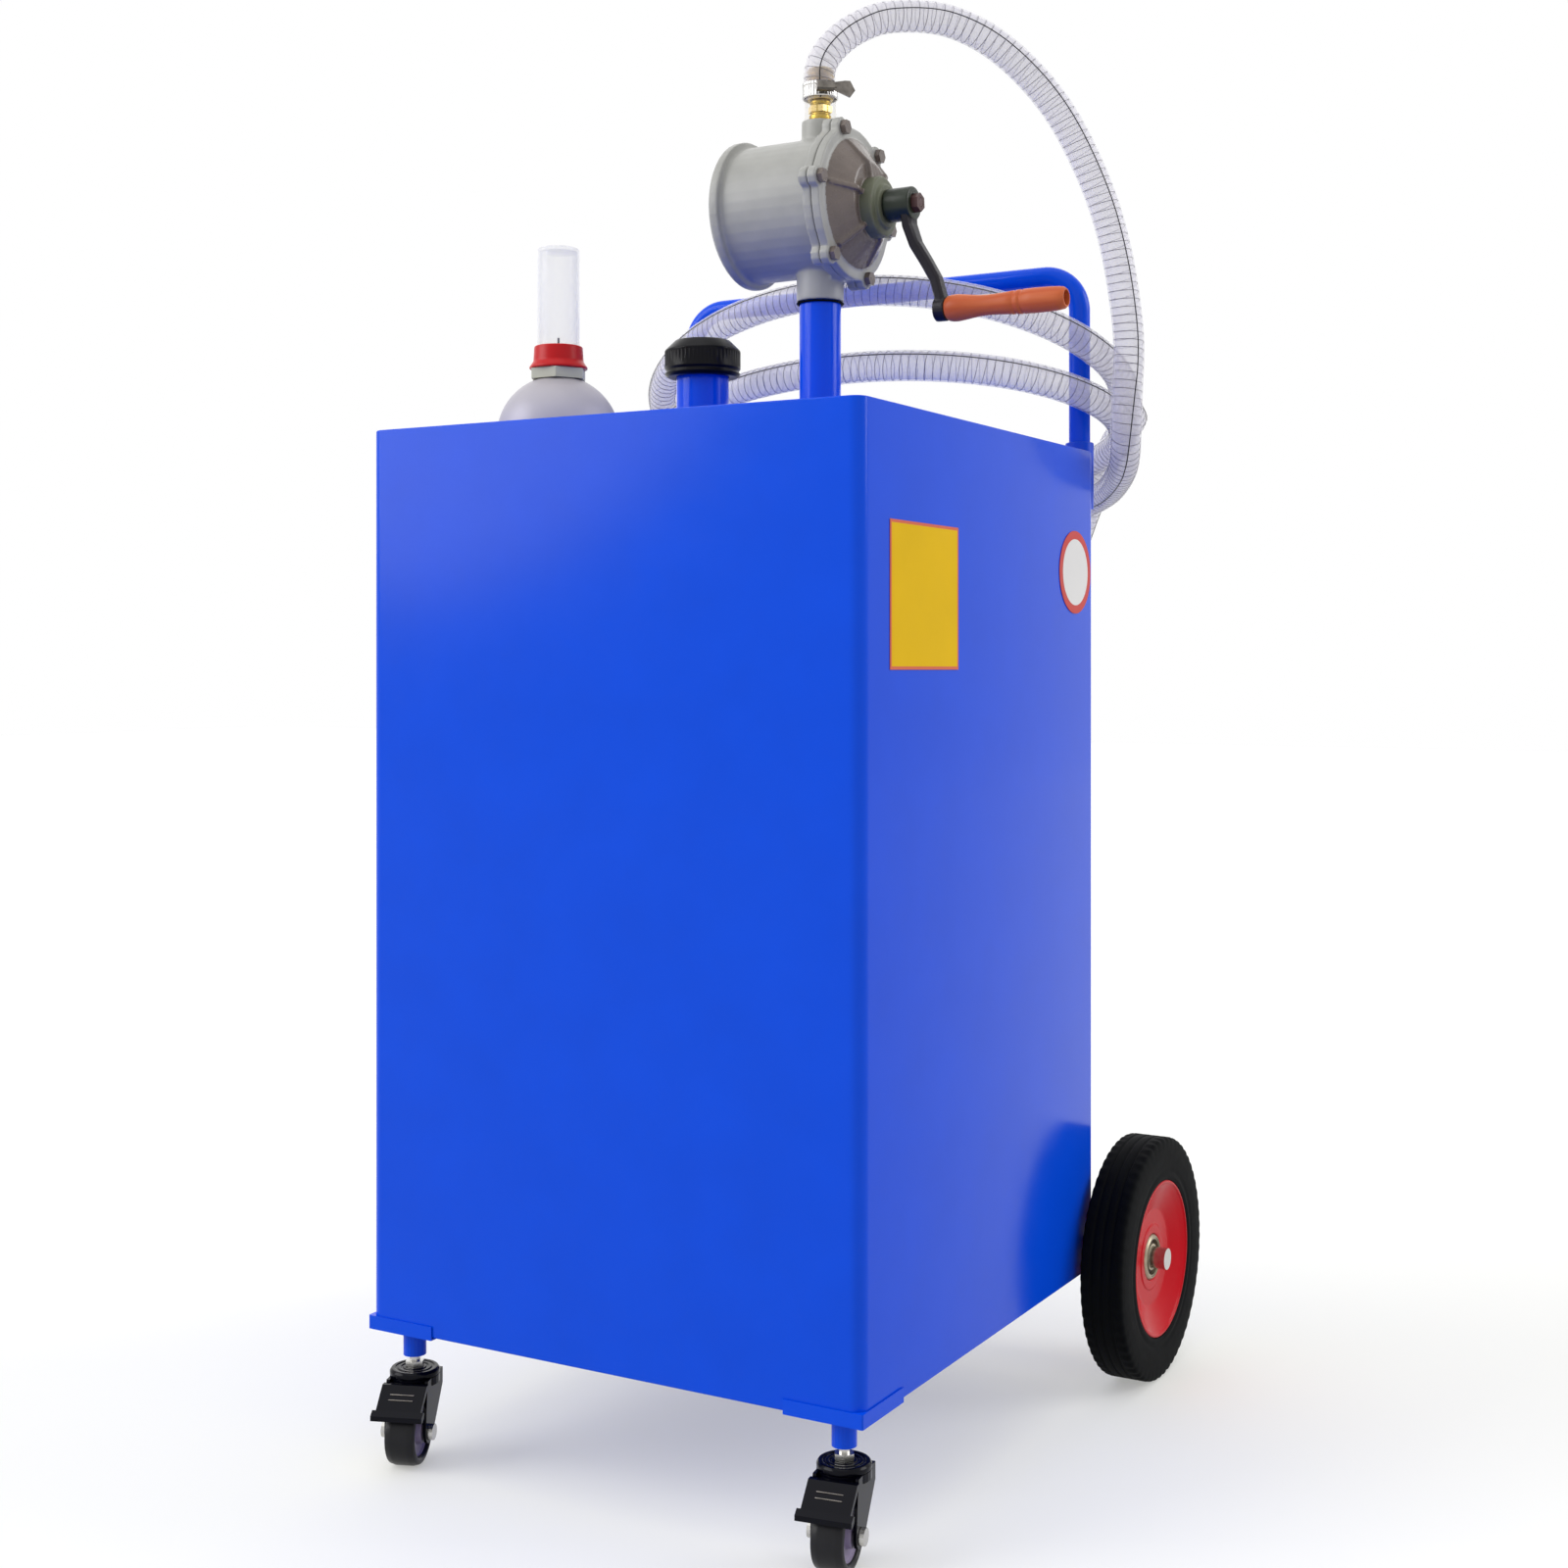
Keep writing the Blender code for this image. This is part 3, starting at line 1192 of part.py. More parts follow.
def add_caster(side_name, spot, looks):
    """Swivel race, stud and nut stay with the post; fork, wheel, axle and brake swivel."""
    prefix = f"caster_{side_name}"
    base = race_bottom()
    outline = [
        (STUD_RADIUS + GAP, base),
        (RACE_RADIUS, base),
        (RACE_RADIUS, base + RACE_LIP),
        (RACE_RADIUS * RACE_FLAT_SHARE, race_top()),
        (STUD_RADIUS + GAP, race_top()),
    ]
    place(turned(f"{prefix}_race", outline, 28, looks["dark_steel"]), spot)
    stud_bottom = fork_crown_bottom() - GAP
    stud_top = TANK_CLEARANCE - CORNER_PLATE_THICK - GAP
    nut_base = race_top() + GAP
    stud_outline = cylinder_outline(STUD_RADIUS, stud_bottom, stud_top)
    stud = turned(f"{prefix}_stud", stud_outline, 12, looks["steel"])
    place(stud, spot)
    nut = prism(
        f"{prefix}_nut_body", hexagon(CASTER_NUT_FLATS), nut_base, nut_base + CASTER_NUT_HEIGHT, None
    )
    add_boolean(stud, place(nut, spot), "UNION")

    pivot = add_empty(f"{prefix}_swivel_axis", spot, CASTER_HEADINGS[side_name])
    add_fork(f"{prefix}_fork", spot, pivot, looks)
    axle_spot = (0, -CASTER_TRAIL, CASTER_WHEEL_RADIUS)
    along_x = (0, math.pi / 2, 0)
    half = CASTER_WHEEL_WIDTH / 2
    shoulder = CASTER_WHEEL_RADIUS * CASTER_SHOULDER_SHARE
    crown = CASTER_WHEEL_RADIUS * CASTER_CROWN_SHARE
    hub = CASTER_WHEEL_RADIUS * CASTER_HUB_SHARE
    dish = shoulder * CASTER_CROWN_SHARE
    recess = half * CASTER_DISH_SHARE
    bore = CASTER_AXLE_RADIUS + GAP
    outline = [
        (bore, -half - GAP),
        (hub, -half - GAP),
        (hub, -recess),
        (dish, -recess),
        (shoulder, -half),
        (crown, -half * CASTER_SHOULDER_SHARE),
        (CASTER_WHEEL_RADIUS, -half / 2),
        (CASTER_WHEEL_RADIUS, half / 2),
        (crown, half * CASTER_SHOULDER_SHARE),
        (shoulder, half),
        (dish, recess),
        (hub, recess),
        (hub, half + GAP),
        (bore, half + GAP),
    ]
    wheel = turned(f"{prefix}_wheel", outline, 22, looks["grey_rubber"])
    place(wheel, axle_spot, along_x, pivot)
    reach = FORK_WIDTH / 2 + GAP
    outline = [
        (0, -reach - CASTER_AXLE_HEAD_LENGTH),
        (CASTER_AXLE_HEAD, -reach - CASTER_AXLE_HEAD_LENGTH),
        (CASTER_AXLE_HEAD, -reach),
        (CASTER_AXLE_RADIUS, -reach),
        (CASTER_AXLE_RADIUS, reach),
        (CASTER_AXLE_HEAD, reach),
        (CASTER_AXLE_HEAD, reach + CASTER_AXLE_HEAD_LENGTH),
        (0, reach + CASTER_AXLE_HEAD_LENGTH),
    ]
    axle = turned(f"{prefix}_axle", outline, 14, looks["steel"])
    place(axle, axle_spot, along_x, pivot)
    add_brake(prefix, pivot, looks)


def brake_pivot():
    """Place of the pedal's pivot in the fork's frame: (trail direction, height)."""
    return (
        RACE_RADIUS + BRAKE_PIVOT_RADIUS + GAP,
        fork_crown_bottom() + BRAKE_PIVOT_RADIUS,
    )


def add_brake(prefix, pivot, looks):
    """Foot pedal in front of the fork, hinged on a short barrel under the race."""
    out, height = brake_pivot()
    axis = add_empty(f"{prefix}_brake_axis", (0, -out, height), parent=pivot)
    half_sheet = BRAKE_SHEET / 2
    plate = [
        (-BRAKE_PIVOT_RADIUS, -half_sheet),
        (-BRAKE_PIVOT_RADIUS, BRAKE_PIVOT_RADIUS),
        (BRAKE_PIVOT_RADIUS, BRAKE_PIVOT_RADIUS),
        (BRAKE_REACH + half_sheet, half_sheet - BRAKE_DROP),
        (BRAKE_REACH, -BRAKE_DROP - half_sheet),
        (half_sheet, -BRAKE_PIVOT_RADIUS),
    ]
    lip_end = BRAKE_REACH + BRAKE_LIP_REACH
    lip = [
        (BRAKE_REACH - half_sheet, half_sheet - BRAKE_DROP),
        (BRAKE_REACH + half_sheet, BRAKE_SHEET - BRAKE_DROP),
        (lip_end, half_sheet - BRAKE_DROP - BRAKE_LIP_DROP),
        (lip_end, -BRAKE_DROP - BRAKE_LIP_DEPTH),
        (lip_end - BRAKE_SHEET, -BRAKE_DROP - BRAKE_LIP_DEPTH),
        (BRAKE_REACH, -BRAKE_DROP - BRAKE_SHEET),
    ]
    turn = Matrix(((0, 0, 1, 0), (-1, 0, 0, 0), (0, 1, 0, 0), (0, 0, 0, 1)))
    pieces = []
    for name, profile, width in (
        (f"{prefix}_brake", plate, BRAKE_WIDTH),
        (f"{prefix}_brake_lip", lip, BRAKE_LIP_WIDTH),
    ):
        builder = prism_mesh(profile, -width / 2, width / 2)
        bmesh.ops.transform(builder, matrix=turn, verts=builder.verts)
        item = finish_mesh(name, builder, looks["black_plastic"])
        pieces.append(place(item, (0, 0, 0), parent=axis))
    pedal, lip_item = pieces
    add_boolean(pedal, lip_item, "UNION")


def tyre_mesh():
    """Tyre about Z: the tread's blocks come from a radius that steps in and out round the wheel."""
    bead = RIM_RADIUS + GAP
    wall = WHEEL_RADIUS - RIM_RADIUS
    rise_shares = (0.0, 0.45, 0.78)
    width_shares = (0.94, 1.0, 1.0)
    shoulder_share, crown_share = 0.97, 0.88
    one_side = [
        (bead + wall * rise, width * TYRE_WIDTH / 2, 0)
        for rise, width in zip(rise_shares, width_shares)
    ]
    one_side.append((WHEEL_RADIUS - TREAD_DEPTH, shoulder_share * TYRE_WIDTH / 2, 1))
    one_side.append((WHEEL_RADIUS, crown_share * TYRE_WIDTH / 2, 0))
    outline = [(radius, -height, notched) for radius, height, notched in one_side]
    outline.extend(reversed(one_side))
    sides = 2 * TREAD_BLOCKS
    builder = bmesh.new()
    rings = []
    for radius, height, notched in outline:
        ring = []
        for k in range(sides):
            angle = math.tau * k / sides
            depth = TREAD_DEPTH if notched and k % 2 else 0
            ring.append(
                builder.verts.new(
                    ((radius - depth) * math.cos(angle), (radius - depth) * math.sin(angle), height)
                )
            )
        rings.append(ring)
    for lower, upper in zip(rings, rings[1:] + rings[:1]):
        for k in range(sides):
            n = (k + 1) % sides
            builder.faces.new([lower[k], lower[n], upper[n], upper[k]])
    return builder


def rim_outline():
    """Dished steel rim: a barrel under the tyre, a cone, and a flat disc round the bearing."""
    barrel_width_share, disc_radius_share, disc_face_share = 0.94, 0.62, 0.45
    half = TYRE_WIDTH / 2 * barrel_width_share
    bore = HUB_RADIUS + GAP
    land = RIM_RADIUS - RIM_SHEET
    disc_edge = RIM_RADIUS * disc_radius_share
    disc_face = half * disc_face_share
    return [
        (RIM_RADIUS, -half),
        (RIM_RADIUS, half),
        (land, half),
        (disc_edge, disc_face),
        (bore, disc_face),
        (bore, disc_face - RIM_SHEET),
        (disc_edge, disc_face - RIM_SHEET),
        (land, half - 2 * RIM_SHEET),
        (land, -half),
    ]


def build_wheels(looks):
    """Two free-turning wheels on one through axle carried by brackets behind the tank."""
    axle_y = REAR_FACE + AXLE_BEHIND_TANK
    wheel_x = SIDE_FACE + TYRE_GAP_TO_TANK + TYRE_WIDTH / 2
    half_bearing = BEARING_LENGTH / 2
    end_x = wheel_x + half_bearing + AXLE_END_SHOW
    for side_name, sign in (("left", -1), ("right", 1)):
        tilt = (0, sign * math.pi / 2, 0)
        centre = (sign * wheel_x, axle_y, WHEEL_RADIUS)
        hub = add_empty(f"wheel_{side_name}_axis", centre)
        place(finish_mesh(f"tyre_{side_name}", tyre_mesh(), looks["black_rubber"]), (0, 0, 0), tilt, hub)
        place(turned(f"rim_{side_name}", rim_outline(), 26, looks["red_paint"]), (0, 0, 0), tilt, hub)
        outline = tube_outline(AXLE_RADIUS + GAP, HUB_RADIUS, -half_bearing, half_bearing)
        bearing = turned(f"hub_{side_name}", outline, 28, looks["steel"])
        place(bearing, (0, 0, 0), tilt, hub)

    axle = turned("rear_axle", cylinder_outline(AXLE_RADIUS, -end_x, end_x), 20, looks["steel"])
    place(axle, (0, axle_y, WHEEL_RADIUS), (0, math.pi / 2, 0))
    for side_name, sign in (("left", -1), ("right", 1)):
        build_bracket(side_name, sign, axle_y, looks)


def build_bracket(side_name, sign, axle_y, looks):
    """Upright plate from the tank's rear face to the axle."""
    front = REAR_FACE + GAP
    low = TANK_CLEARANCE - GAP
    outline = [(front, low), (axle_y, WHEEL_RADIUS - BRACKET_EYE_RADIUS)]
    outline += arc_points(
        (axle_y, WHEEL_RADIUS), BRACKET_EYE_RADIUS, -math.pi / 3, math.pi / 3, 6
    )
    outline += [(front, low + BRACKET_HEIGHT)]
    turn = Matrix(((0, 0, 1, 0), (1, 0, 0, 0), (0, 1, 0, 0), (0, 0, 0, 1)))
    centre_x = sign * (SIDE_FACE - BRACKET_INSET)
    builder = prism_mesh(outline, centre_x - BRACKET_SHEET / 2, centre_x + BRACKET_SHEET / 2)
    bmesh.ops.transform(builder, matrix=turn, verts=builder.verts)
    bracket = finish_mesh(f"axle_bracket_{side_name}", builder, looks["blue_paint"])
    drill(
        bracket, f"axle_hole_{side_name}", AXLE_RADIUS + GAP, -BRACKET_SHEET, BRACKET_SHEET,
        (centre_x, axle_y, WHEEL_RADIUS), (0, math.pi / 2, 0), sides=20,
    )


def build_stickers(looks):
    """Two blank film stickers on the tank's right side."""
    face = SIDE_FACE + GAP
    along_x = (math.pi / 2, 0, math.pi / 2)
    half_w, half_h = PANEL_STICKER_WIDTH / 2, PANEL_STICKER_HEIGHT / 2
    outline = [(-half_w, -half_h), (half_w, -half_h), (half_w, half_h), (-half_w, half_h)]
    panel = prism("panel_sticker", outline, 0, STICKER_THICK, looks["yellow_film"])
    place(panel, (face, PANEL_STICKER_Y, TANK_TOP - PANEL_STICKER_DROP), along_x)
    outline = circle_points(ROUND_STICKER_RADIUS, 40)
    disc = prism("round_sticker", outline, 0, STICKER_THICK, looks["white_film"])
    place(disc, (face, ROUND_STICKER_Y, TANK_TOP - ROUND_STICKER_DROP), along_x)


def stand_on_origin():
    """Moves the finished caddy so that its bounding box, hose left out, centres on the origin."""
    frame = add_empty("caddy_frame", (0, -TANK_SET_FORWARD, 0))
    for item in list(bpy.data.objects):
        if item.parent is None and item is not frame:
            item.parent = frame


def main():
    clear_scene()
    looks = make_materials()
    build_tank(looks)
    build_filler(looks)
    build_gauge(looks)
    build_riser(looks)
    nose_x = build_pump(looks)
    build_crank(looks, nose_x)
    hose_start = build_outlet(looks)
    build_hose(looks, hose_start)
    build_spout(looks)
    build_handle(looks)
    for side_name, sign in (("left", -1), ("right", 1)):
        spot = corner_mount(side_name, sign, looks)
        add_caster(side_name, spot, looks)
    build_wheels(looks)
    build_stickers(looks)
    stand_on_origin()


main()
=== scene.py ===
"""Looks of the fuel caddy, laid out as an add-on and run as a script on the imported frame."""

import math

import bmesh
import bpy
from mathutils import Matrix, Vector


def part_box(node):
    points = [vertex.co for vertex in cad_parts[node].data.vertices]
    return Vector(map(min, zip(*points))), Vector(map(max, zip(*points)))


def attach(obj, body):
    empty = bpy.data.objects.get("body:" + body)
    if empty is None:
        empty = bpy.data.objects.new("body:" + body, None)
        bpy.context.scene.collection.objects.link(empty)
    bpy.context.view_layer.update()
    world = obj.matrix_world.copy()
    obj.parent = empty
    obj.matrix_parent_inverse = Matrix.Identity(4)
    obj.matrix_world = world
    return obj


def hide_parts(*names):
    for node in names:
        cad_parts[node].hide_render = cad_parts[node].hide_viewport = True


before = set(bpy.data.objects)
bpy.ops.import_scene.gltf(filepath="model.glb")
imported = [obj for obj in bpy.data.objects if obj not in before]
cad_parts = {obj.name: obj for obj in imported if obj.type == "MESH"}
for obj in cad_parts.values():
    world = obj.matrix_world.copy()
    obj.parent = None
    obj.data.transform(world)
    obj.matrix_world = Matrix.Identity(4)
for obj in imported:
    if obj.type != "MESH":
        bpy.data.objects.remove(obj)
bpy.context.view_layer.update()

bl_info = {
    "name": "Fuel caddy looks",
    "version": (1, 0, 0),
    "blender": (4, 5, 0),
    "location": "3D View > Sidebar > Fuel caddy",
    "description": "Dresses the packed fuel caddy with its visible pieces and materials",
    "category": "Object",
}

# Places shared with the solids, in the row frame
FORWARD = 0.0634
TANK_WIDTH = 0.424
TANK_TOP = 0.788
TANK_BOTTOM = 0.1025
TANK_CORNER = 0.010
FILLER = (-0.165 * TANK_WIDTH, 0.0945 * TANK_WIDTH - FORWARD)
GAUGE = (-0.275 * TANK_WIDTH, -0.236 * TANK_WIDTH - FORWARD)
PUMP = (0.0507, 0.025 - FORWARD, 0.970)
PUMP_NOSE = 0.1115
CASE_HEIGHT = 0.975
COVER_CONE_RADIUS = 0.051
RISER_TOP = 0.899
CRANK_TILT = math.radians(6)
CRANK_LENGTH = 0.084
HANDLE_X = 0.1936
HANDLE_Y = 0.2243 - FORWARD
HANDLE_TOP = 0.942
HANDLE_BEND = 0.032
HANDLE_TUBE_RADIUS = 0.009
AXLE_Y = 0.263 - FORWARD
WHEEL_RADIUS = 0.1016
WHEEL_X = 0.236
BEARING_HALF = 0.010
CASTER_X = 0.187
CASTER_Y = -0.190 - FORWARD
CASTER_HEADINGS = {"left": math.radians(21), "right": math.radians(9)}
CASTER_TRAIL = 0.014
CASTER_WHEEL_RADIUS = 0.025
CASTER_WHEEL_HALF = 0.012
BRAKE_PIVOT = (0.0215, 0.0603)
BRAKE_PLATE = ((0.0022, 0.0022), (0.0177, -0.0131))
BRAKE_LIP_KNOB = (0.0178, -0.0160)
SIDES = (("left", -1), ("right", 1))
LAID_ALONG_X = Matrix.Rotation(math.pi / 2, 4, "Y")

# The hose's route: the same points and formula as the solids
HOSE_DIAMETER = 0.026
HOSE_START = (PUMP[0], PUMP[1], 1.0611)
ARC_ROUTE = [
    (0.0590, 0.0320, 1.1060),
    (0.0740, 0.0460, 1.1225),
    (0.0950, 0.0650, 1.1330),
    (0.1300, 0.0970, 1.1330),
    (0.1650, 0.1290, 1.1120),
    (0.1990, 0.1590, 1.0680),
    (0.2240, 0.1820, 1.0080),
    (0.2380, 0.1950, 0.9500),
    (0.2455, 0.2020, 0.8850),
    (0.2450, 0.2010, 0.8350),
    (0.2424, 0.2050, 0.8017),
    (0.2339, 0.2250, 0.7835),
    (0.2211, 0.2500, 0.7732),
    (0.1915, 0.3000, 0.7635),
    (0.1580, 0.3350, 0.7560),
]
TAIL_ROUTE = [
    (0.1780, 0.3520, 0.8130),
    (0.1550, 0.3770, 0.7850),
    (0.1300, 0.3950, 0.7450),
    (0.1080, 0.4020, 0.6900),
    (0.0950, 0.4020, 0.6250),
    (0.0880, 0.3980, 0.5600),
]
TAIL_END = (0.0850, 0.3940, 0.4900)

# Lengths along the hose in metres, each with the heading of its black line in degrees
STRIPE_HEADINGS = (
    (0.0, 150), (0.50, 150), (0.60, 108), (0.75, 70), (1.25, 190), (1.49, 215), (1.73, 210),
    (2.00, 150), (2.45, 180), (2.69, 200), (3.00, 190), (3.60, 120),
)

# The hose's coil over the handle, and how the lines of the hose are drawn
COIL_FIRST_TURN = 5 / 24
COIL_LAST_TURN = 49 / 24
COIL_STEPS = 440
COIL_CENTRE_X = -0.001
COIL_CENTRE_Y = 0.240 - FORWARD
COIL_HALF_WIDTH = 0.2215
COIL_HALF_DEPTH = 0.140
COIL_START_HEIGHT = 0.779
COIL_PITCH = 0.038
COIL_REAR_DROP = 0.044
COIL_SIDE_LIFT = 0.004
COIL_FRONT_LIFT = 0.0485
COIL_FRONT_LIFT_GAIN = 0.027
COIL_FRONT_TURN = 0.75
KNOT_SPACING = 0.004
HEADING_SPAN = 12
CLAMP_ABOVE_END = 0.014
HOSE_SPACING = 0.005
HOSE_SIDES = 24
LINER_RADIUS = 0.0115
HELIX_RADIUS = 0.0122
HELIX_STEPS = 20
STRIPE_RADIUS = 0.0127
STRIPE_THICK = 0.0005

# Stickers and clearances
REST_GAP = 0.0003
STICKER_GAP = 0.0002
FILM_THICK = 0.00035
FACE_THICK = 0.00045
PANEL_EDGE = 0.0022
DISC_FACE_SHARE = 0.80

# Camera, floor, world and lamps
CAMERA_PLACE = (0.8399, -1.4165 - FORWARD, 0.6063)
CAMERA_HEADING = math.radians(29.715)
CAMERA_LENS = 46.99
CAMERA_SHIFT = -0.0741
CAMERA_REACH = 60
SENSOR_WIDTH = 36
FLOOR_REACH = 14
FLOOR_GLOW = 0.35
WORLD_STRENGTH = 0.66
CLEAR_LAYERS = 32
LAMP_DISTANCE = 3

# Each lamp's name, heading, height and spread in degrees, and strength
LAMPS = (
    ("key_lamp", -48, 26, 40, 1.6),
    ("side_lamp", 120, 25, 30, 1.0),
    ("rear_lamp", 205, 24, 70, 0.5),
    ("top_lamp", 0, 75, 50, 0.4),
)


class CaddyLook(bpy.types.PropertyGroup):
    """Sizes and colours that the operators read."""

    paint: bpy.props.FloatVectorProperty(
        name="Paint", description="Colour of the painted tank and tubes",
        subtype="COLOR", size=3, min=0, max=1, default=(0.001, 0.073, 0.74),
    )
    casting: bpy.props.FloatVectorProperty(
        name="Casting", description="Colour of the pump's painted castings",
        subtype="COLOR", size=3, min=0, max=1, default=(0.37, 0.37, 0.35),
    )
    cover: bpy.props.FloatVectorProperty(
        name="Cover", description="Colour of the pump's front cover",
        subtype="COLOR", size=3, min=0, max=1, default=(0.150, 0.120, 0.104),
    )
    wire_pitch: bpy.props.FloatProperty(
        name="Wire pitch", description="Spacing of the steel helix in the hose wall",
        unit="LENGTH", default=0.0068, min=0.002, max=0.02,
    )
    wire_radius: bpy.props.FloatProperty(
        name="Wire radius", description="Radius of the steel helix wire",
        unit="LENGTH", default=0.00027, min=0.0001, max=0.002,
    )
    vinyl_alpha: bpy.props.FloatProperty(
        name="Vinyl density", description="How much of the light each hose wall holds back",
        default=0.16, min=0, max=1,
    )
    edge_radius: bpy.props.FloatProperty(
        name="Tank edge radius", description="Rounding of the tank's top and bottom edges",
        unit="LENGTH", default=0.0012, min=0.0003, max=0.02,
    )
    tread_blocks: bpy.props.IntProperty(
        name="Tread blocks", description="Number of tread blocks round each rear tyre",
        default=60, min=12, max=90,
    )
    cap_ribs: bpy.props.IntProperty(
        name="Cap ribs", description="Number of grip ribs round the filler cap",
        default=60, min=12, max=120,
    )


def look():
    return bpy.context.scene.caddy_look


# Materials

GLOSS_SPREAD = 0.05
LEAST_ROUGHNESS = 0.02
COAT_ROUGHNESS = 0.05
CAST_GRAIN = {"grain_depth": 0.0001, "grain_strength": 0.35}
PLATED_GRAIN = {"grain_depth": 0.00003}


def new_shader(name):
    material = bpy.data.materials.new(name)
    material.use_nodes = True
    shader = material.node_tree.nodes["Principled BSDF"]
    return material, material.node_tree, shader


def fill(tree, node, inputs):
    """Sets each named input to a value, or links it where a socket is given."""
    for name, value in inputs.items():
        if isinstance(value, bpy.types.NodeSocket):
            tree.links.new(value, node.inputs[name])
        else:
            node.inputs[name].default_value = value


def add_node(tree, kind, inputs=None, **settings):
    """A new node with its inputs filled and its own settings, such as data_type, set."""
    node = tree.nodes.new(kind)
    for key, value in settings.items():
        setattr(node, key, value)
    fill(tree, node, inputs or {})
    return node


def noise(tree, scale, detail=3, stretch=(1, 1, 1)):
    """Noise in metres of the row frame, stretched along chosen axes."""
    place = add_node(tree, "ShaderNodeTexCoord").outputs["Object"]
    mapping = add_node(tree, "ShaderNodeMapping", {"Vector": place, "Scale": stretch})
    inputs = {"Vector": mapping.outputs["Vector"], "Scale": scale, "Detail": detail}
    return add_node(tree, "ShaderNodeTexNoise", inputs).outputs["Fac"]


def ramp(tree, source, low, high, start=0.3, end=0.7):
    node = add_node(tree, "ShaderNodeValToRGB", {"Fac": source})
    first, last = node.color_ramp.elements
    first.position, first.color = start, (*low, 1)
    last.position, last.color = end, (*high, 1)
    return node.outputs["Color"]


def span(tree, source, low, high):
    inputs = {"Value": source, "To Min": low, "To Max": high}
    return add_node(tree, "ShaderNodeMapRange", inputs).outputs["Result"]


def bump(tree, source, strength, distance):
    inputs = {"Height": source, "Strength": strength, "Distance": distance}
    return add_node(tree, "ShaderNodeBump", inputs).outputs["Normal"]


def shade(colour, factor):
    return tuple(min(1, c * factor) for c in colour)


def surface(
    name,
    colour,
    roughness,
    metallic=0,
    coat=0,
    specular=0.2,
    mottle=0.06,
    mottle_scale=18,
    grain=900,
    grain_depth=0.00002,
    grain_strength=0.15,
):
    """One finish: a slightly uneven colour and gloss over a fine grain."""
    material, tree, shader = new_shader(name)
    cloud = noise(tree, mottle_scale, 4)
    patch = noise(tree, mottle_scale * 3, 2)
    least, most = roughness - GLOSS_SPREAD, roughness + GLOSS_SPREAD
    inputs = {
        "Base Color": ramp(tree, cloud, shade(colour, 1 - mottle), shade(colour, 1 + mottle)),
        "Roughness": span(tree, patch, max(LEAST_ROUGHNESS, least), min(1, most)),
        "Metallic": metallic,
        "Specular IOR Level": specular,
        "Normal": bump(tree, noise(tree, grain, 2), grain_strength, grain_depth),
    }
    if coat:
        inputs |= {"Coat Weight": coat, "Coat Roughness": COAT_ROUGHNESS}
    fill(tree, shader, inputs)
    return material


def wood_material(name):
    """Orange lacquer through which a long fine grain along X shows."""
    material, tree, shader = new_shader(name)
    grain = noise(tree, 90, detail=6, stretch=(0.08, 1, 1))
    inputs = {
        "Base Color": ramp(tree, grain, (0.50, 0.090, 0.024), (0.68, 0.180, 0.060), 0.32, 0.72),
        "Roughness": span(tree, grain, 0.34, 0.52),
        "Specular IOR Level": 0.25,
        "Normal": bump(tree, grain, strength=0.35, distance=0.0003),
    }
    fill(tree, shader, inputs)
    return material


def clear_material(name, colour, alpha, roughness, rim_alpha):
    """Clear plastic: denser where the wall is seen edge on."""
    material, tree, shader = new_shader(name)
    facing = add_node(tree, "ShaderNodeLayerWeight", {"Blend": 0.35}).outputs["Facing"]
    inputs = {
        "Base Color": ramp(tree, noise(tree, 30, 3), shade(colour, 0.96), colour),
        "Roughness": roughness,
        "Specular IOR Level": 0.35,
        "Alpha": span(tree, facing, alpha, rim_alpha),
        "Normal": bump(tree, noise(tree, 140, 2), strength=0.1, distance=0.0002),
    }
    fill(tree, shader, inputs)
    return material


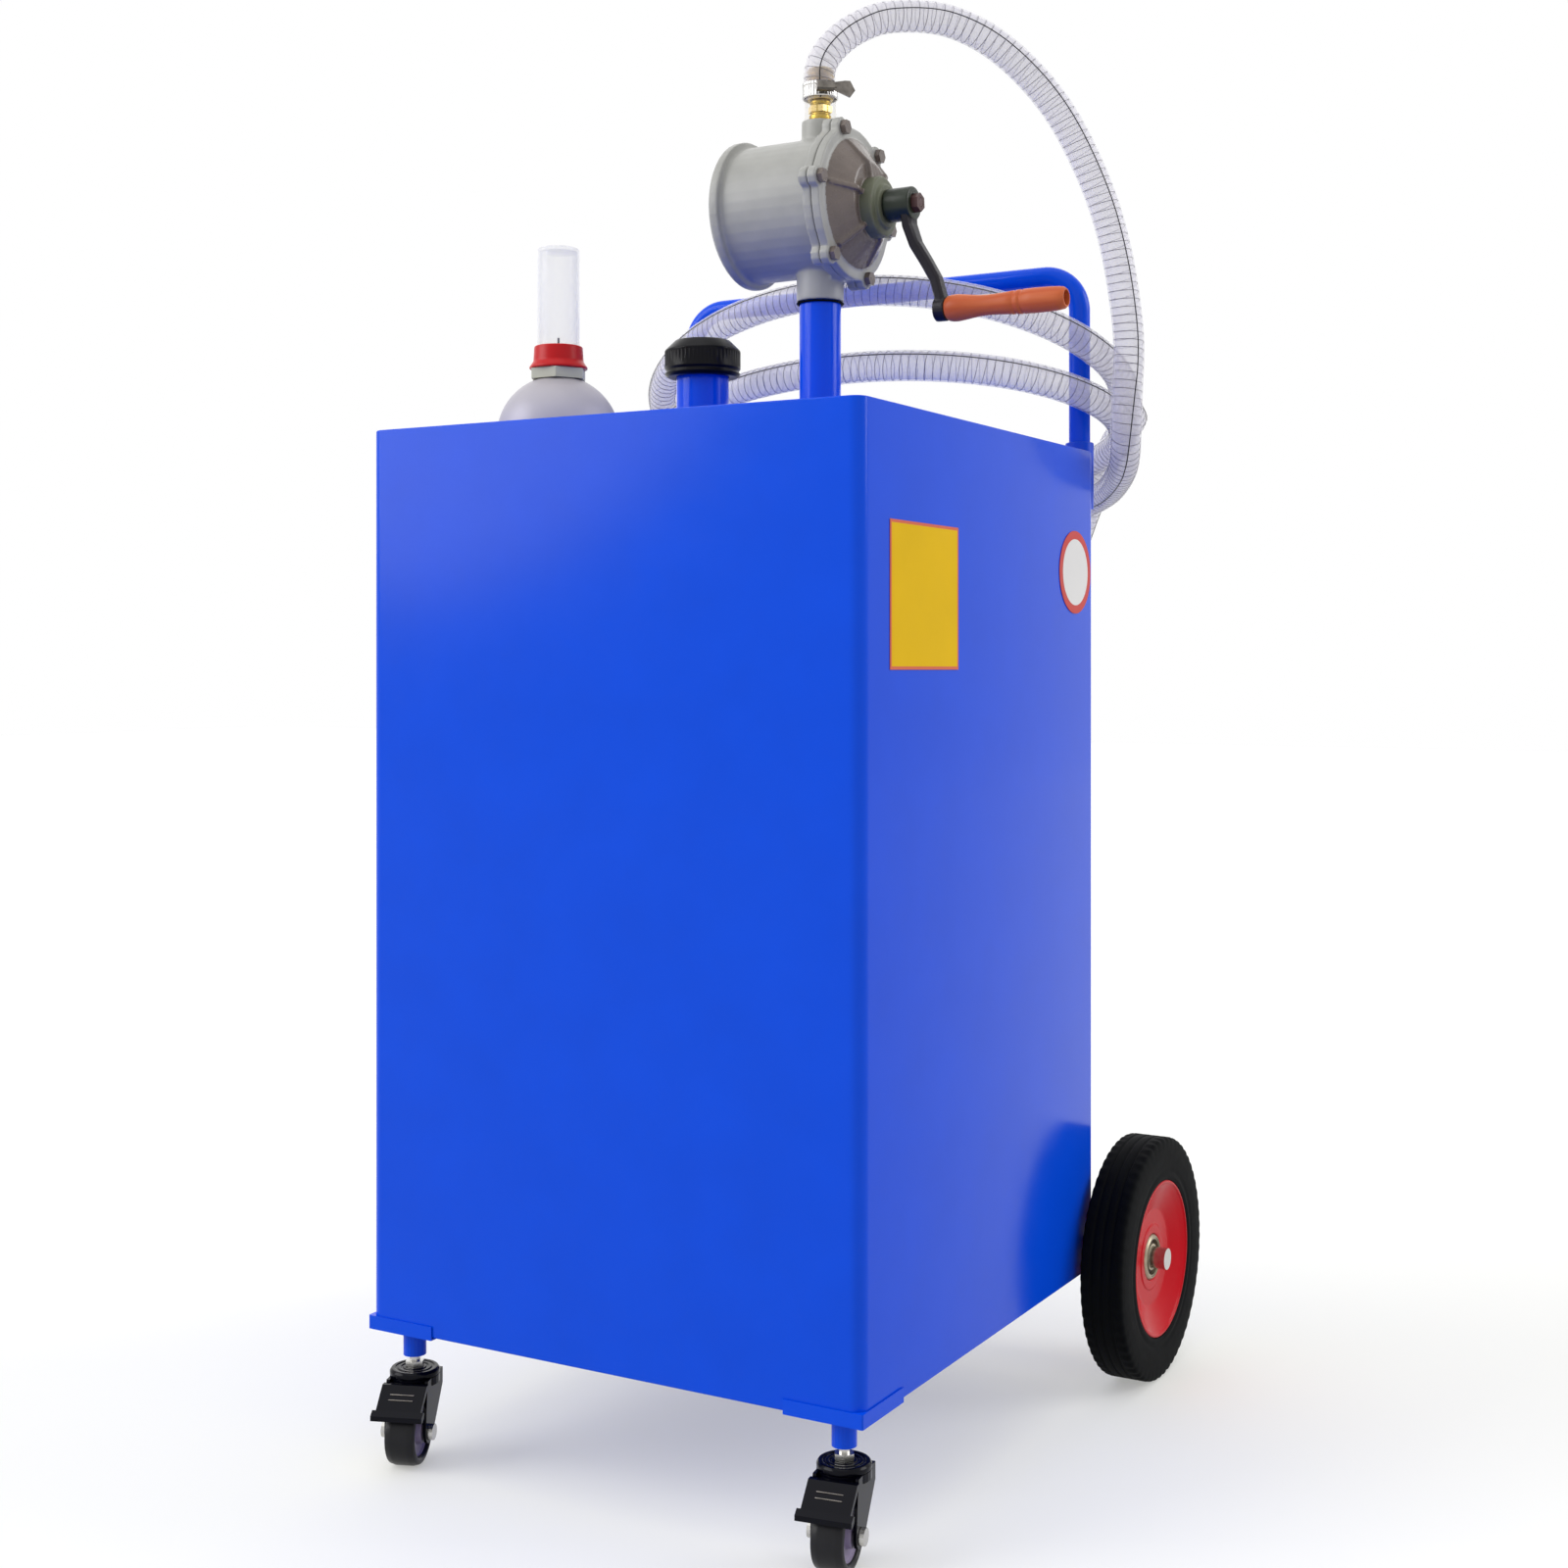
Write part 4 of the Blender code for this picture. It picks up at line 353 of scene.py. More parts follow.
def make_finishes():
    settings = look()
    paint = tuple(settings.paint)
    casting = tuple(settings.casting)
    cover = tuple(settings.cover)
    return {
        "paint": surface(
            "blue_gloss_paint", paint, 0.17, specular=0.13, mottle=0.03, grain=260,
            grain_depth=0.000004,
        ),
        "paint_tube": surface(
            "blue_gloss_tube_paint", paint, 0.16, coat=0.03, specular=0.12, mottle=0.03, grain=260
        ),
        "paint_shade": surface("blue_paint_bracket", shade(paint, 0.9), 0.34, mottle=0.05, grain=300),
        "casting": surface(
            "grey_painted_casting", casting, 0.40, specular=0.4, mottle=0.08, mottle_scale=40,
            grain=700, **CAST_GRAIN,
        ),
        "cover": surface(
            "brown_grey_casting", cover, 0.28, specular=0.45, mottle=0.12, mottle_scale=50,
            grain=700, **CAST_GRAIN,
        ),
        "olive_casting": surface(
            "olive_painted_casting", (0.125, 0.135, 0.090), 0.45, mottle=0.12, mottle_scale=60,
            grain=800, **CAST_GRAIN,
        ),
        "green_sleeve": surface(
            "dark_green_sleeve", (0.018, 0.026, 0.016), 0.35, specular=0.3, mottle=0.15,
            mottle_scale=80, grain=800, grain_depth=0.0001, grain_strength=0.3,
        ),
        "shaft_end": surface(
            "red_brown_cap_nut", (0.075, 0.032, 0.030), 0.38, specular=0.3, mottle=0.15,
            mottle_scale=150,
        ),
        "forging": surface(
            "black_forging", (0.013, 0.011, 0.016), 0.32, specular=0.22, mottle=0.2,
            mottle_scale=90, grain=500, grain_depth=0.00015, grain_strength=0.3,
        ),
        "cap": surface("black_cap_plastic", (0.0035, 0.0033, 0.0048), 0.30, specular=0.12, grain=1200),
        "silver": surface(
            "silver_dome_paint", (0.45, 0.43, 0.47), 0.46, metallic=0.15, mottle=0.05,
            mottle_scale=26, grain=600, grain_depth=0.00005,
        ),
        "beige": surface("beige_nut_plastic", (0.50, 0.50, 0.40), 0.45, mottle=0.05),
        "red_plastic": surface("red_collar_plastic", (0.54, 0.007, 0.010), 0.32),
        "steel": surface(
            "plated_steel", (0.52, 0.51, 0.49), 0.24, metallic=1, mottle=0.08, mottle_scale=120,
            grain=1500, **PLATED_GRAIN,
        ),
        "bright_steel": surface(
            "ground_steel", (0.54, 0.53, 0.52), 0.22, metallic=1, mottle=0.05, mottle_scale=200,
            grain=2200, grain_depth=0.00002,
        ),
        "worn_steel": surface(
            "worn_bearing_steel", (0.40, 0.35, 0.25), 0.34, metallic=0.55, mottle=0.25,
            mottle_scale=120, grain=1500, **PLATED_GRAIN,
        ),
        "seal_brown": surface("bearing_seal", (0.030, 0.014, 0.008), 0.5, mottle=0.3, mottle_scale=90),
        "nickel": surface(
            "nickel_plate", (0.17, 0.155, 0.140), 0.26, metallic=0.85, mottle=0.3, mottle_scale=160,
            grain=1600, **PLATED_GRAIN,
        ),
        "wire": surface("helix_wire", (0.070, 0.062, 0.095), 0.40, mottle=0.1),
        "ink": surface("tracer_line", (0.006, 0.006, 0.010), 0.5, mottle=0.1),
        "brass": surface(
            "brass_fitting", (0.46, 0.31, 0.050), 0.30, metallic=0.8, mottle=0.2, mottle_scale=150,
            grain=1600, **PLATED_GRAIN,
        ),
        # Painted highlight: a paler copy of the brass for the hexagon, standing in for the light its
        # flats catch.
        "brass_painted_highlight": surface(
            "brass_hexagon_painted_highlight", (0.88, 0.66, 0.26), 0.28, metallic=0.7, mottle=0.12,
            mottle_scale=150, grain=1600, **PLATED_GRAIN,
        ),
        "clear_end": clear_material("clear_hose_end", (0.92, 0.92, 0.90), 0.03, 0.12, 0.20),
        "black_metal": surface(
            "black_pressed_steel", (0.0012, 0.0014, 0.0045), 0.16, specular=0.12, mottle=0.15,
            grain=500,
        ),
        "tyre": surface(
            "tyre_rubber", (0.0016, 0.0020, 0.0026), 0.70, specular=0.06, mottle=0.3,
            mottle_scale=50, grain=1400, grain_depth=0.0001, grain_strength=0.4,
        ),
        "caster_tread": surface(
            "caster_rubber", (0.011, 0.011, 0.013), 0.32, mottle=0.15, mottle_scale=80, grain=1200
        ),
        "caster_hub": surface("caster_hub_plastic", (0.30, 0.25, 0.38), 0.35, mottle=0.08),
        "rim": surface(
            "red_rim_paint", (0.56, 0.002, 0.010), 0.22, specular=0.08, mottle=0.05,
            grain=300,
        ),
        "yellow_film": surface(
            "yellow_film", (0.80, 0.50, 0.012), 0.45, specular=0.03, mottle=0.03, grain=1500
        ),
        "orange_film": surface("orange_film_edge", (0.66, 0.12, 0.05), 0.40, mottle=0.03),
        "white_film": surface("white_film", (0.80, 0.79, 0.78), 0.40, mottle=0.02),
        "red_film": surface("red_film_ring", (0.60, 0.045, 0.035), 0.40, mottle=0.03),
        "wood": wood_material("orange_lacquered_wood"),
        "vinyl": clear_material("clear_vinyl", (0.90, 0.88, 0.94), settings.vinyl_alpha, 0.16, 0.45),
        "liner": clear_material("milky_hose_liner", (0.90, 0.88, 0.95), 0.30, 0.5, 0.50),
        "sight": clear_material("clear_sight_tube", (0.90, 0.90, 0.92), 0.10, 0.08, 0.50),
    }


FINISHES = {}


def finish(key):
    if not FINISHES:
        FINISHES.update(make_finishes())
    return FINISHES[key]


# Mesh helpers

EDGE_ANGLE = math.radians(30)


def link_object(name, data):
    item = bpy.data.objects.new(name, data)
    bpy.context.collection.objects.link(item)
    return item


def link_mesh(name, builder, material, smooth_angle=35):
    bmesh.ops.recalc_face_normals(builder, faces=builder.faces)
    mesh = bpy.data.meshes.new(name)
    builder.to_mesh(mesh)
    builder.free()
    mesh.shade_smooth()
    mesh.set_sharp_from_angle(angle=math.radians(smooth_angle))
    mesh.materials.append(material)
    return link_object(name, mesh)


def add_lathe(builder, outline, sides, matrix, wobble=None):
    """Adds a solid of revolution about the matrix's Z; wobble(k, step) moves a radius in."""
    rings = []
    for k, (radius, height) in enumerate(outline):
        if radius == 0:
            rings.append([builder.verts.new(matrix @ Vector((0, 0, height)))])
            continue
        ring = []
        for step in range(sides):
            angle = math.tau * step / sides
            r = radius - (wobble(k, step) if wobble else 0)
            point = Vector((r * math.cos(angle), r * math.sin(angle), height))
            ring.append(builder.verts.new(matrix @ point))
        rings.append(ring)
    pairs = list(zip(rings, rings[1:]))
    if outline[0][0] > 0:
        pairs.append((rings[-1], rings[0]))
    for lower, upper in pairs:
        for k in range(sides):
            n = (k + 1) % sides
            corners = [lower[k % len(lower)], lower[n % len(lower)]]
            corners += [upper[n % len(upper)], upper[k % len(upper)]]
            builder.faces.new(list(dict.fromkeys(corners)))


def turned(
    name, outline, matrix, key, node=None, body="caddy",
    sides=72, smooth_angle=50, wobble=None, easing=0, easing_steps=3,
):
    """Turns one piece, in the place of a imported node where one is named, and rides it."""
    if easing:
        outline = rounded(outline, easing, easing_steps)
    builder = bmesh.new()
    add_lathe(builder, outline, sides, matrix, wobble)
    item = link_mesh(name, builder, finish(key), smooth_angle)
    if node:
        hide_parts(node)
    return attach(item, body)


def mirrored(outline):
    """The outline, then its mirror image at the other end."""
    return [*outline, *((r, -h) for r, h in reversed(outline))]


def rounded(outline, radius, steps=3):
    """Outline with each inner corner rounded off, where the edges leave room for it."""
    result = [outline[0]]
    for before, corner, after in zip(outline, outline[1:], outline[2:]):
        a, b, c = Vector(before), Vector(corner), Vector(after)
        reach = min(radius, (a - b).length / 2.2, (c - b).length / 2.2)
        if reach < radius / 8:
            result.append(corner)
            continue
        start = b + (a - b).normalized() * reach
        end = b + (c - b).normalized() * reach
        for k in range(steps + 1):
            t = k / steps
            result.append(tuple(start.lerp(b, t).lerp(b.lerp(end, t), t)))
    result.append(outline[-1])
    return result


def add_box(builder, low, high, matrix):
    corners = [
        builder.verts.new(matrix @ Vector((x, y, z)))
        for x in (low[0], high[0])
        for y in (low[1], high[1])
        for z in (low[2], high[2])
    ]
    for face in ((0, 1, 3, 2), (4, 6, 7, 5), (0, 4, 5, 1), (2, 3, 7, 6), (0, 2, 6, 4), (1, 5, 7, 3)):
        builder.faces.new([corners[k] for k in face])


def add_bevel(item, width, segments=2):
    bevel = item.modifiers.new("edge_rounding", "BEVEL")
    bevel.width = width
    bevel.segments = segments
    bevel.limit_method = "ANGLE"
    bevel.angle_limit = EDGE_ANGLE
    bevel.harden_normals = False
    return item


def add_skin(builder, rings, open_ends=False):
    """Faces between neighbouring rings of vertices, and over the two ends."""
    for lower, upper in zip(rings, rings[1:]):
        for k in range(len(lower)):
            n = (k + 1) % len(lower)
            builder.faces.new([lower[k], lower[n], upper[n], upper[k]])
    if not open_ends:
        builder.faces.new(rings[0])
        builder.faces.new(rings[-1])


def offset(across, out, angle, radius):
    """One radius away from a line, at an angle between its two cross directions."""
    return (across * math.cos(angle) + out * math.sin(angle)) * radius


def tube(name, points, radius, sides, material, open_ends=False):
    """Tube mesh skinned along points on frames that don't twist."""
    builder = bmesh.new()
    angles = [math.tau * k / sides for k in range(sides)]
    rings = [
        [builder.verts.new(origin + offset(across, out, angle, radius)) for angle in angles]
        for origin, across, out in carried_frames(points)
    ]
    add_skin(builder, rings, open_ends)
    return link_mesh(name, builder, material, 60)


def carried_frames(points):
    """(point, across, out) at each point, the pair carried along without twist."""
    points = [Vector(p) for p in points]
    frames = []
    out = None
    for k, point in enumerate(points):
        ahead = points[min(k + 1, len(points) - 1)]
        behind = points[max(k - 1, 0)]
        run = (ahead - behind).normalized()
        if out is None:
            guide = Vector((1, 0, 0)) if abs(run.x) < 0.9 else Vector((0, 1, 0))
            out = (guide - run * guide.dot(run)).normalized()
        else:
            out = (out - run * out.dot(run)).normalized()
        frames.append((point, run.cross(out), out))
    return frames


def smooth_route(knots):
    """Evenly spaced points on a smooth curve through the knots."""
    knots = [Vector(p) for p in knots]
    padded = [2 * knots[0] - knots[1], *knots, 2 * knots[-1] - knots[-2]]
    fine = []
    steps = 40
    for a, b, c, d in zip(padded, padded[1:], padded[2:], padded[3:]):
        for k in range(steps):
            t = k / steps
            bend = 2 * b + (c - a) * t + (2 * a - 5 * b + 4 * c - d) * t**2
            fine.append((bend + (3 * b - a - 3 * c + d) * t**3) / 2)
    fine.append(knots[-1])
    return even_points(fine, KNOT_SPACING)


def running_lengths(points):
    """Length of the line from its first point to each point."""
    lengths = [0]
    for p, q in zip(points, points[1:]):
        lengths.append(lengths[-1] + (q - p).length)
    return lengths


def marks_along(lengths, count):
    """(step, k, share): each even mark, the span that it falls in and how far along that span."""
    k = 0
    for step in range(count + 1):
        target = lengths[-1] * step / count
        while k < len(lengths) - 2 and lengths[k + 1] < target:
            k += 1
        yield step, k, (target - lengths[k]) / (lengths[k + 1] - lengths[k])


def even_points(fine, spacing):
    lengths = running_lengths(fine)
    count = max(2, round(lengths[-1] / spacing))
    return [fine[k].lerp(fine[k + 1], share) for _, k, share in marks_along(lengths, count)]


def stood(node, x, y):
    """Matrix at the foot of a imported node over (x, y), and the node's height."""
    low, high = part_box(node)
    return Matrix.Translation((x, y, low[2])), high[2] - low[2]


def copy_mesh(name, node):
    """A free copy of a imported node's mesh, in the row frame."""
    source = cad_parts[node]
    mesh = source.data.copy()
    mesh.materials.clear()
    item = link_object(name, mesh)
    item.matrix_world = source.matrix_world.copy()
    return item


def bake_modifiers(item):
    shaped = item.evaluated_get(bpy.context.evaluated_depsgraph_get())
    mesh = bpy.data.meshes.new_from_object(shaped)
    item.modifiers.clear()
    item.data = mesh
    return item


def softened_copy(name, node, voxel, passes, key, body="caddy"):
    """The node's own shape with every edge eased, as a casting or forging leaves the mould."""
    item = copy_mesh(name, node)
    remesh = item.modifiers.new("even_mesh", "REMESH")
    remesh.mode = "VOXEL"
    remesh.voxel_size = voxel
    smooth = item.modifiers.new("eased_edges", "SMOOTH")
    smooth.factor = 0.5
    smooth.iterations = passes
    bake_modifiers(item)
    item.data.materials.clear()
    item.data.materials.append(finish(key))
    item.data.shade_smooth()
    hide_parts(node)
    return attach(item, body)


def dress(node, key):
    """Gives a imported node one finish."""
    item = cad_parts[node]
    if not item.data.materials:
        item.data.materials.append(finish(key))
    for slot in item.material_slots:
        slot.link = "OBJECT"
        slot.material = finish(key)
    return item


# The hose


def coil_point(turn):
    """Centre of the coiled hose: right end, rear, left end, front, and round again."""
    angle = -math.tau * turn
    lift = COIL_FRONT_LIFT + COIL_FRONT_LIFT_GAIN * (turn - COIL_FRONT_TURN)
    swing = (lift + COIL_REAR_DROP) / 2 + (lift - COIL_REAR_DROP) / 2 * math.sin(angle)
    rise = COIL_PITCH * turn + swing * math.sin(angle) + COIL_SIDE_LIFT * math.cos(angle)
    x = COIL_CENTRE_X + COIL_HALF_WIDTH * math.cos(angle)
    y = COIL_CENTRE_Y - COIL_HALF_DEPTH * math.sin(angle)
    return Vector((x, y, COIL_START_HEIGHT + rise))


def set_forward(points):
    return [Vector((x, y - FORWARD, z)) for x, y, z in points]


def hose_line():
    """The whole hose's centreline, from the outlet fitting to the spout."""
    coil = [
        coil_point(COIL_FIRST_TURN + (COIL_LAST_TURN - COIL_FIRST_TURN) * k / COIL_STEPS)
        for k in range(COIL_STEPS + 1)
    ]
    into_coil = (coil[HEADING_SPAN] - coil[0]).normalized()
    out_of_coil = (coil[-1] - coil[-HEADING_SPAN]).normalized()
    start = Vector(HOSE_START)
    lead = HOSE_DIAMETER
    arc_end = coil[0] - into_coil * lead
    up = Vector((0, 0, 1))
    arc = smooth_route(
        [start, start + up * lead, *set_forward(ARC_ROUTE), arc_end - into_coil * lead, arc_end]
    )
    tail_start = coil[-1] + out_of_coil * lead
    (end,) = set_forward([TAIL_END])
    tail = smooth_route(
        [tail_start, tail_start + out_of_coil * lead, *set_forward(TAIL_ROUTE), end + up * lead, end]
    )
    return even_points([*arc, *coil, *tail], HOSE_SPACING)


def helix_points(frames, lengths, pitch):
    """Points of the wire that winds round the hose inside its wall."""
    points = []
    for step, k, share in marks_along(lengths, int(lengths[-1] / pitch * HELIX_STEPS)):
        (p, a, o), (q, b, u) = frames[k], frames[k + 1]
        angle = math.tau * step / HELIX_STEPS
        around = offset(a.lerp(b, share), o.lerp(u, share), angle, HELIX_RADIUS)
        points.append(p.lerp(q, share) + around)
    return points


def wire_curve(name, points, radius, material):
    curve = bpy.data.curves.new(name, "CURVE")
    curve.dimensions = "3D"
    curve.bevel_depth = radius
    curve.bevel_resolution = 0
    spline = curve.splines.new("POLY")
    spline.points.add(len(points) - 1)
    spline.points.foreach_set("co", [c for p in points for c in (*p, 1)])
    curve.materials.append(material)
    return link_object(name, curve)


def stripe_heading(length):
    """Where round the hose its black tracer line runs, at a length along it."""
    for (start, first), (end, last) in zip(STRIPE_HEADINGS, STRIPE_HEADINGS[1:]):
        if length <= end:
            break
    share = min(1, (length - start) / (end - start))
    return math.radians(first + (last - first) * share)


class CADDY_OT_hose(bpy.types.Operator):
    """Clear wire-reinforced hose from the outlet, twice round the handle, down to its spout"""

    bl_idname = "caddy.hose"
    bl_label = "Hose"

    def execute(self, context):
        settings = look()
        line = hose_line()
        hose = tube("fuel_hose", line, HOSE_DIAMETER / 2, HOSE_SIDES, finish("vinyl"), True)
        frames = carried_frames(line)
        lengths = running_lengths(line)
        liner = tube("hose_liner", line, LINER_RADIUS, HOSE_SIDES, finish("liner"), True)
        wire_points = helix_points(frames, lengths, settings.wire_pitch)
        wire = wire_curve("hose_wire_helix", wire_points, settings.wire_radius, finish("wire"))
        stripe = [
            point + offset(across, out, stripe_heading(length), STRIPE_RADIUS)
            for (point, across, out), length in zip(frames, lengths)
        ]
        tracer = tube("hose_tracer_line", stripe, STRIPE_THICK, 6, finish("ink"))
        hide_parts("hose_arc", "hose_coil", "hose_tail")
        for item in (hose, liner, wire, tracer):
            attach(item, "caddy")
        spout = dress("discharge_spout", "silver")
        ring = self.spout_clamp()
        return {"FINISHED"}

    def spout_clamp(self):
        (end,) = set_forward([TAIL_END])
        inner, outer, half = 0.0131, 0.0142, 0.005
        outline = mirrored([(inner, -half), (outer, -half)])
        matrix = Matrix.Translation(end + Vector((0, 0, CLAMP_ABOVE_END)))
        return turned("spout_hose_clamp", outline, matrix, "steel", sides=48, smooth_angle=35)


# The tank


def shell_outline(inset):
    x = TANK_WIDTH / 2 - TANK_CORNER
    r = TANK_CORNER - inset
    points = []
    for k, (cx, cy) in enumerate([(x, x), (-x, x), (-x, -x), (x, -x)]):
        for step in range(9):
            angle = (k + step / 8) * math.pi / 2
            points.append((cx + r * math.cos(angle), cy + r * math.sin(angle) - FORWARD))
    return points


class CADDY_OT_tank(bpy.types.Operator):
    """Welded sheet-metal tank with eased edges, its top and its floor"""

    bl_idname = "caddy.tank"
    bl_label = "Tank"

    def execute(self, context):
        edge = look().edge_radius
        builder = bmesh.new()
        steps = 5
        bends = [math.pi / 2 * k / steps for k in range(steps + 1)]
        levels = [(edge - edge * math.sin(a), TANK_BOTTOM + edge - edge * math.cos(a)) for a in bends]
        levels += [(edge - edge * math.cos(a), TANK_TOP - edge + edge * math.sin(a)) for a in bends]
        rings = [
            [builder.verts.new((x, y, z)) for x, y in shell_outline(inset)]
            for inset, z in levels
        ]
        add_skin(builder, rings)
        shell = link_mesh("tank_shell", builder, finish("paint"), 40)
        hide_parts("tank_wrap", "tank_top", "tank_bottom")
        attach(shell, "caddy")
        return {"FINISHED"}


class CADDY_OT_filler(bpy.types.Operator):
    """Filler neck with its weld ring, and the ribbed black cap"""

    bl_idname = "caddy.filler"
    bl_label = "Filler"

    def execute(self, context):
        at_top = Matrix.Translation((*FILLER, TANK_TOP))
        neck = [
            (0.020, -0.010), (0.022, -0.010), (0.022, REST_GAP), (0.027, REST_GAP), (0.0262, 0.0028),
            (0.0232, 0.0044), (0.022, 0.0068), (0.022, 0.088), (0.020, 0.088),
        ]
        turned("filler_neck_tube", neck, at_top, "paint_tube", "filler_neck", easing=0.0008)
        self.cap()
        return {"FINISHED"}

    def cap(self):
        ribs = look().cap_ribs
        edge, skirt_radius, rib_depth = 0.0012, 0.0315, 0.0006
        ribs_low, ribs_high, shortest_wall = -0.0230, -0.0098, 0.006
        top = Matrix.Translation((*FILLER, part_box("filler_cap")[1][2]))
        outline = rounded(
            [
                (0, -0.0010), (0.0150, -0.0010), (0.0170, 0), (0.0228, 0), (0.0318, -0.0088),
                (0.0318, -0.0240), (0.0306, -0.0252), (0.0306, -0.0268), (0.0318, -0.0280),
                (0.0296, -0.0310), (0.0224, -0.0310), (0.0224, -0.0040), (0, -0.0040),
            ],
            edge,
        )
        dense = []
        for (r, h), (s, g) in zip(outline, outline[1:]):
            dense.append((r, h))
            if min(r, s) > skirt_radius and abs(h - g) > shortest_wall:
                dense += [(r, h - edge), (s, g + edge)]
        dense.append(outline[-1])
        skirt = {
            k for k, (r, h) in enumerate(dense) if r > skirt_radius and ribs_low < h < ribs_high
        }

        def wobble(k, step):
            return rib_depth if k in skirt and step % 2 else 0

        turned(
            "filler_cap_ribbed", dense, top, "cap", "filler_cap", "filler_cap",
            sides=2 * ribs, smooth_angle=40, wobble=wobble,
        )


class CADDY_OT_gauge(bpy.types.Operator):
    """Silver dome, nut, red collar and clear sight tube of the float gauge"""

    bl_idname = "caddy.gauge"
    bl_label = "Gauge"

    def execute(self, context):
        base = Matrix.Translation((*GAUGE, TANK_TOP + REST_GAP))
        outer, inner = 0.0485, 0.0465
        hole, steps = 0.018, 20
        dome = []
        for radius, order in ((outer, range(steps + 1)), (inner, range(steps, -1, -1))):
            top = math.acos(hole / radius)
            angles = [top * k / steps for k in order]
            dome += [(radius * math.cos(angle), radius * math.sin(angle)) for angle in angles]
        turned("gauge_dome_cover", dome, base, "silver", "gauge_dome", sides=96)

        base, _ = stood("gauge_collar", *GAUGE)
        collar = [
            (0.0171, 0), (0.0228, 0), (0.0230, 0.0014), (0.0206, 0.0048), (0.0198, 0.0064),
            (0.0191, 0.0172), (0.0183, 0.0180), (0.0171, 0.0180),
        ]
        turned("gauge_collar_ring", collar, base, "red_plastic", "gauge_collar", easing=0.0008)
        crown = 0.0955
        sight = [
            (0, crown), (0.0150, crown), (0.0163, crown - 0.0005), (0.0168, crown - 0.0018),
            (0.0168, 0), (0.0153, 0), (0.0153, crown - 0.0032), (0, crown - 0.0032),
        ]
        turned("gauge_sight_tube", sight, base, "sight", "sight_tube")
        add_bevel(dress("gauge_nut", "beige"), 0.0008)
        dress("gauge_float", "forging")
        return {"FINISHED"}


# The pump


def pump_matrix():
    turn = Matrix.Rotation(math.pi / 2, 4, "Z") @ Matrix.Rotation(math.pi / 2, 4, "X")
    return Matrix.Translation(PUMP) @ turn


def crank_matrix():
    tilt = Matrix.Rotation(CRANK_TILT, 4, "X")
    return Matrix.Translation((PUMP_NOSE, PUMP[1], PUMP[2])) @ tilt @ LAID_ALONG_X


class CADDY_OT_pump(bpy.types.Operator):
    """Rotary pump: riser pipe, cast case and cover, bolts and the seal ring at the riser"""

    bl_idname = "caddy.pump"
    bl_label = "Pump"

    def execute(self, context):
        self.riser()
        softened_copy("pump_case_casting", "pump_case", 0.0012, 5, "casting")
        cover = softened_copy("pump_cover_casting", "pump_cover", 0.0009, 4, "cover")
        cover.data.materials.append(finish("casting"))
        for face in cover.data.polygons:
            away = math.hypot(face.center.y - PUMP[1], face.center.z - CASE_HEIGHT)
            face.material_index = 1 if away > COVER_CONE_RADIUS else 0
        for k in range(1, 7):
            add_bevel(dress(f"cover_bolt_{k}", "cover"), 0.0005)
        self.boss_ring()
        return {"FINISHED"}

    def riser(self):
        low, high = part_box("pump_riser")
        base = Matrix.Translation((PUMP[0], PUMP[1], 0))
        outline = [
            (0.0139, low[2]), (0.0167, low[2]), (0.0167, TANK_TOP + REST_GAP),
            (0.0235, TANK_TOP + REST_GAP), (0.0228, TANK_TOP + 0.0030), (0.0192, TANK_TOP + 0.0064),
            (0.0167, TANK_TOP + 0.0100), (0.0167, high[2]), (0.0139, high[2]),
        ]
        turned("pump_riser_pipe", outline, base, "paint_tube", "pump_riser", easing=0.0010)
        seal = [(0.0169, -0.0014), (0.0186, -0.0014), (0.0192, -0.0006), (0.0186, 0.0), (0.0169, 0.0)]
        matrix = Matrix.Translation((PUMP[0], PUMP[1], RISER_TOP))
        turned("riser_seal_ring", seal, matrix, "tyre", sides=64, smooth_angle=35)

    def boss_ring(self):
        """Olive cover of the shaft gland, over the casting's boss."""
        start = PUMP_NOSE - PUMP[0] - 0.0150
        outline = [
            (0.0078, start), (0.0240, start), (0.0240, start + 0.0110), (0.0222, start + 0.0122),
            (0.0178, start + 0.0124), (0.0170, start + 0.0152), (0.0078, start + 0.0152),
        ]
        place = pump_matrix()
        turned("shaft_gland_cover", outline, place, "olive_casting", smooth_angle=35, easing=0.0012)


